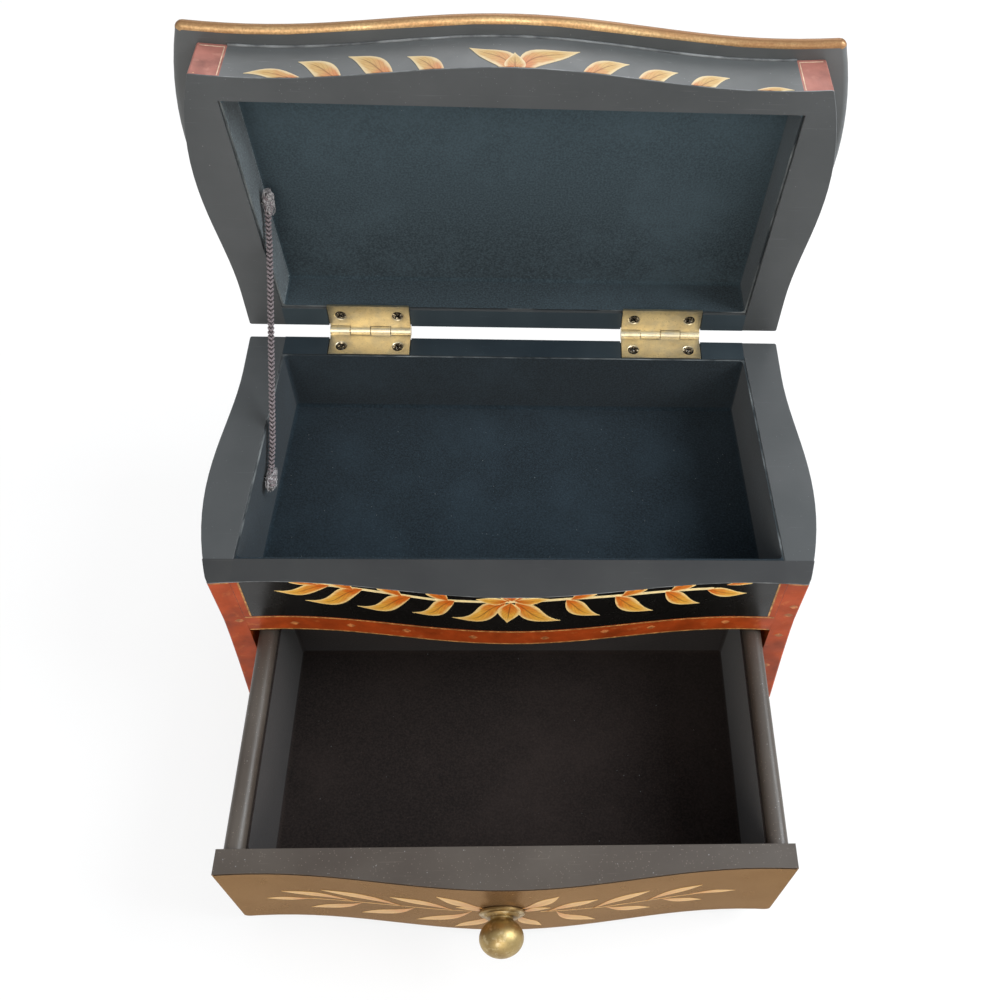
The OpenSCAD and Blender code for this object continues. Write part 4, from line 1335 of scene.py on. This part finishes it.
class CHEST_OT_edging(bpy.types.Operator):
    """Gold lines and pale flecks of the red frame, a painted shadow line along the drawer front's top edge,
    and the bead under the lid's top
    """

    bl_idname = "chest.edging"
    bl_label = "Edging"

    def execute(self, context):
        sizes = context.scene.chest_sizes
        paint, width = sizes.paint, sizes.line / MM
        low, high, post, rim = RAIL_LOW / MM, RAIL_TOP / MM, POST_X / MM, RIM_Z / MM
        lines = [self.level(z, post, width) for z in (low + 0.7, high - 0.6)]
        painted(lines, "gold_rail_lines", "red_drawer_rail", paint, "case", "line")
        frieze = "lacquered_front_frieze"
        ends = [line((hand * (post - 1.2), high + 0.2), (hand * (post - 1.2), rim - 0.4), 2.2)
                for hand, name in HANDS]
        painted(ends, "red_frieze_ends", frieze, paint, "case", "red", "red_lacquer")
        lines = [line((hand * (post - 2.3), high + 0.3), (hand * (post - 2.6), rim - 0.4), width)
                 for hand, name in HANDS]
        painted(lines, "gold_frieze_lines", frieze, paint * 1.6, "case", "line")
        for hand, name in HANDS:
            top = line((hand * (post + 0.3), rim - 0.7), (hand * (post + 6.4), rim - 0.7), 0.4)
            painted([top], "gold_post_line_" + name, "red_post_" + name, paint, "case", "line")
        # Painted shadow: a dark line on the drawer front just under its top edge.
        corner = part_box("drawer_front")[1]
        edge = self.level(corner.z / MM - 0.6, corner.x / MM - 0.3, 0.9)
        painted([edge], "painted_shadow_drawer_line", "lacquered_drawer_front", paint, "drawer", "shadow",
                "black_lacquer")
        half = sizes.fleck / MM / 2
        for name, board, spots in FLECKS:
            made = [stroke((x - half, z), (x + half, z), half * 1.5, 0, steps=6) for x, z in spots]
            painted(made, name, board, paint, "case", "fleck")
        for hand, name in HANDS:
            self.block_lines(hand, name, paint)
        self.bead()
        return {"FINISHED"}

    def level(self, z, reach, width):
        """A line from side to side."""
        return line((-reach + 0.2, z), (reach - 0.2, z), width, 64)

    def block_lines(self, hand, name, paint):
        """Pale line along the inner side and the top of a corner block of the lid."""
        low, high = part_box("lid_block_" + name)
        foot, top = LID_LOW / MM + 0.6, LID_HIGH / MM - 1.4
        inner = hand * (BLOCK_X / MM + 0.7)
        outer = hand * (BLOCK_X / MM + (high.x - low.x) / MM - 1.6)
        lines = [line((inner, foot), (inner, top), 0.3), line((inner, top), (outer, top), 0.3)]
        painted(lines, "pale_block_lines_" + name, "red_lid_block_" + name, paint, "lid", "pale_line")

    def bead(self):
        """Thin bead of lacquer where the lid's front meets the underside of its top."""
        board = frame["nodes"]["lid_front"].data
        closed = {(round(p.x, 6), round(p.y, 6)) for p in (CLOSE @ v.co for v in board.vertices)}
        edge = sorted(p for p in closed if p[1] < WALL_Y - 1 * MM)
        data = tube("lid_bead", 0.45 * MM)
        run_along(data, [((x, y - 0.1 * MM, LID_HIGH - 0.35 * MM), 1.0) for x, y in edge])
        piece = meshed(data)
        moved(piece, OPEN)
        place(piece, "lid", "black_lacquer", "worn")


class CHEST_OT_plain_parts(bpy.types.Operator):
    """Finishes of the plain parts inside and underneath"""

    bl_idname = "chest.plain_parts"
    bl_label = "Plain parts"

    def execute(self, context):
        for node, finish in (("drawer_guide_left", "board"), ("drawer_guide_right", "board"),
                             ("drawer_bottom", "board"), ("tray_floor", "tray_board"),
                             ("base_felt", "felt"), ("knob_screw", "bronze")):
            refinish(node, finish)
        return {"FINISHED"}


class CHEST_PT_panel(bpy.types.Panel):
    """The chest's pieces in the order in which they are made"""

    bl_idname = "CHEST_PT_panel"
    bl_label = "Jewellery Chest"
    bl_space_type = "VIEW_3D"
    bl_region_type = "UI"
    bl_category = "Chest"

    def draw(self, context):
        for operator in OPERATORS:
            self.layout.operator(operator.bl_idname)


OPERATORS = (
    CHEST_OT_studio, CHEST_OT_cord_stay, CHEST_OT_case_boards, CHEST_OT_red_frame, CHEST_OT_nosed_boards,
    CHEST_OT_lid_walls, CHEST_OT_drawer_box, CHEST_OT_linings, CHEST_OT_hinges, CHEST_OT_screws,
    CHEST_OT_knob, CHEST_OT_vines, CHEST_OT_edging, CHEST_OT_plain_parts,
)
CLASSES = (ChestSizes, ChestColours, *OPERATORS, CHEST_PT_panel)


def register():
    for made in CLASSES:
        bpy.utils.register_class(made)
    bpy.types.Scene.chest_sizes = PointerProperty(type=ChestSizes)
    bpy.types.Scene.chest_colours = PointerProperty(type=ChestColours)


def unregister():
    del bpy.types.Scene.chest_colours
    del bpy.types.Scene.chest_sizes
    for made in reversed(CLASSES):
        bpy.utils.unregister_class(made)


def main():
    register()
    make_finishes(bpy.context.scene.chest_colours)
    for operator in OPERATORS:
        group, name = operator.bl_idname.split(".")
        getattr(getattr(bpy.ops, group), name)()


if __name__ == "__main__":
    main()
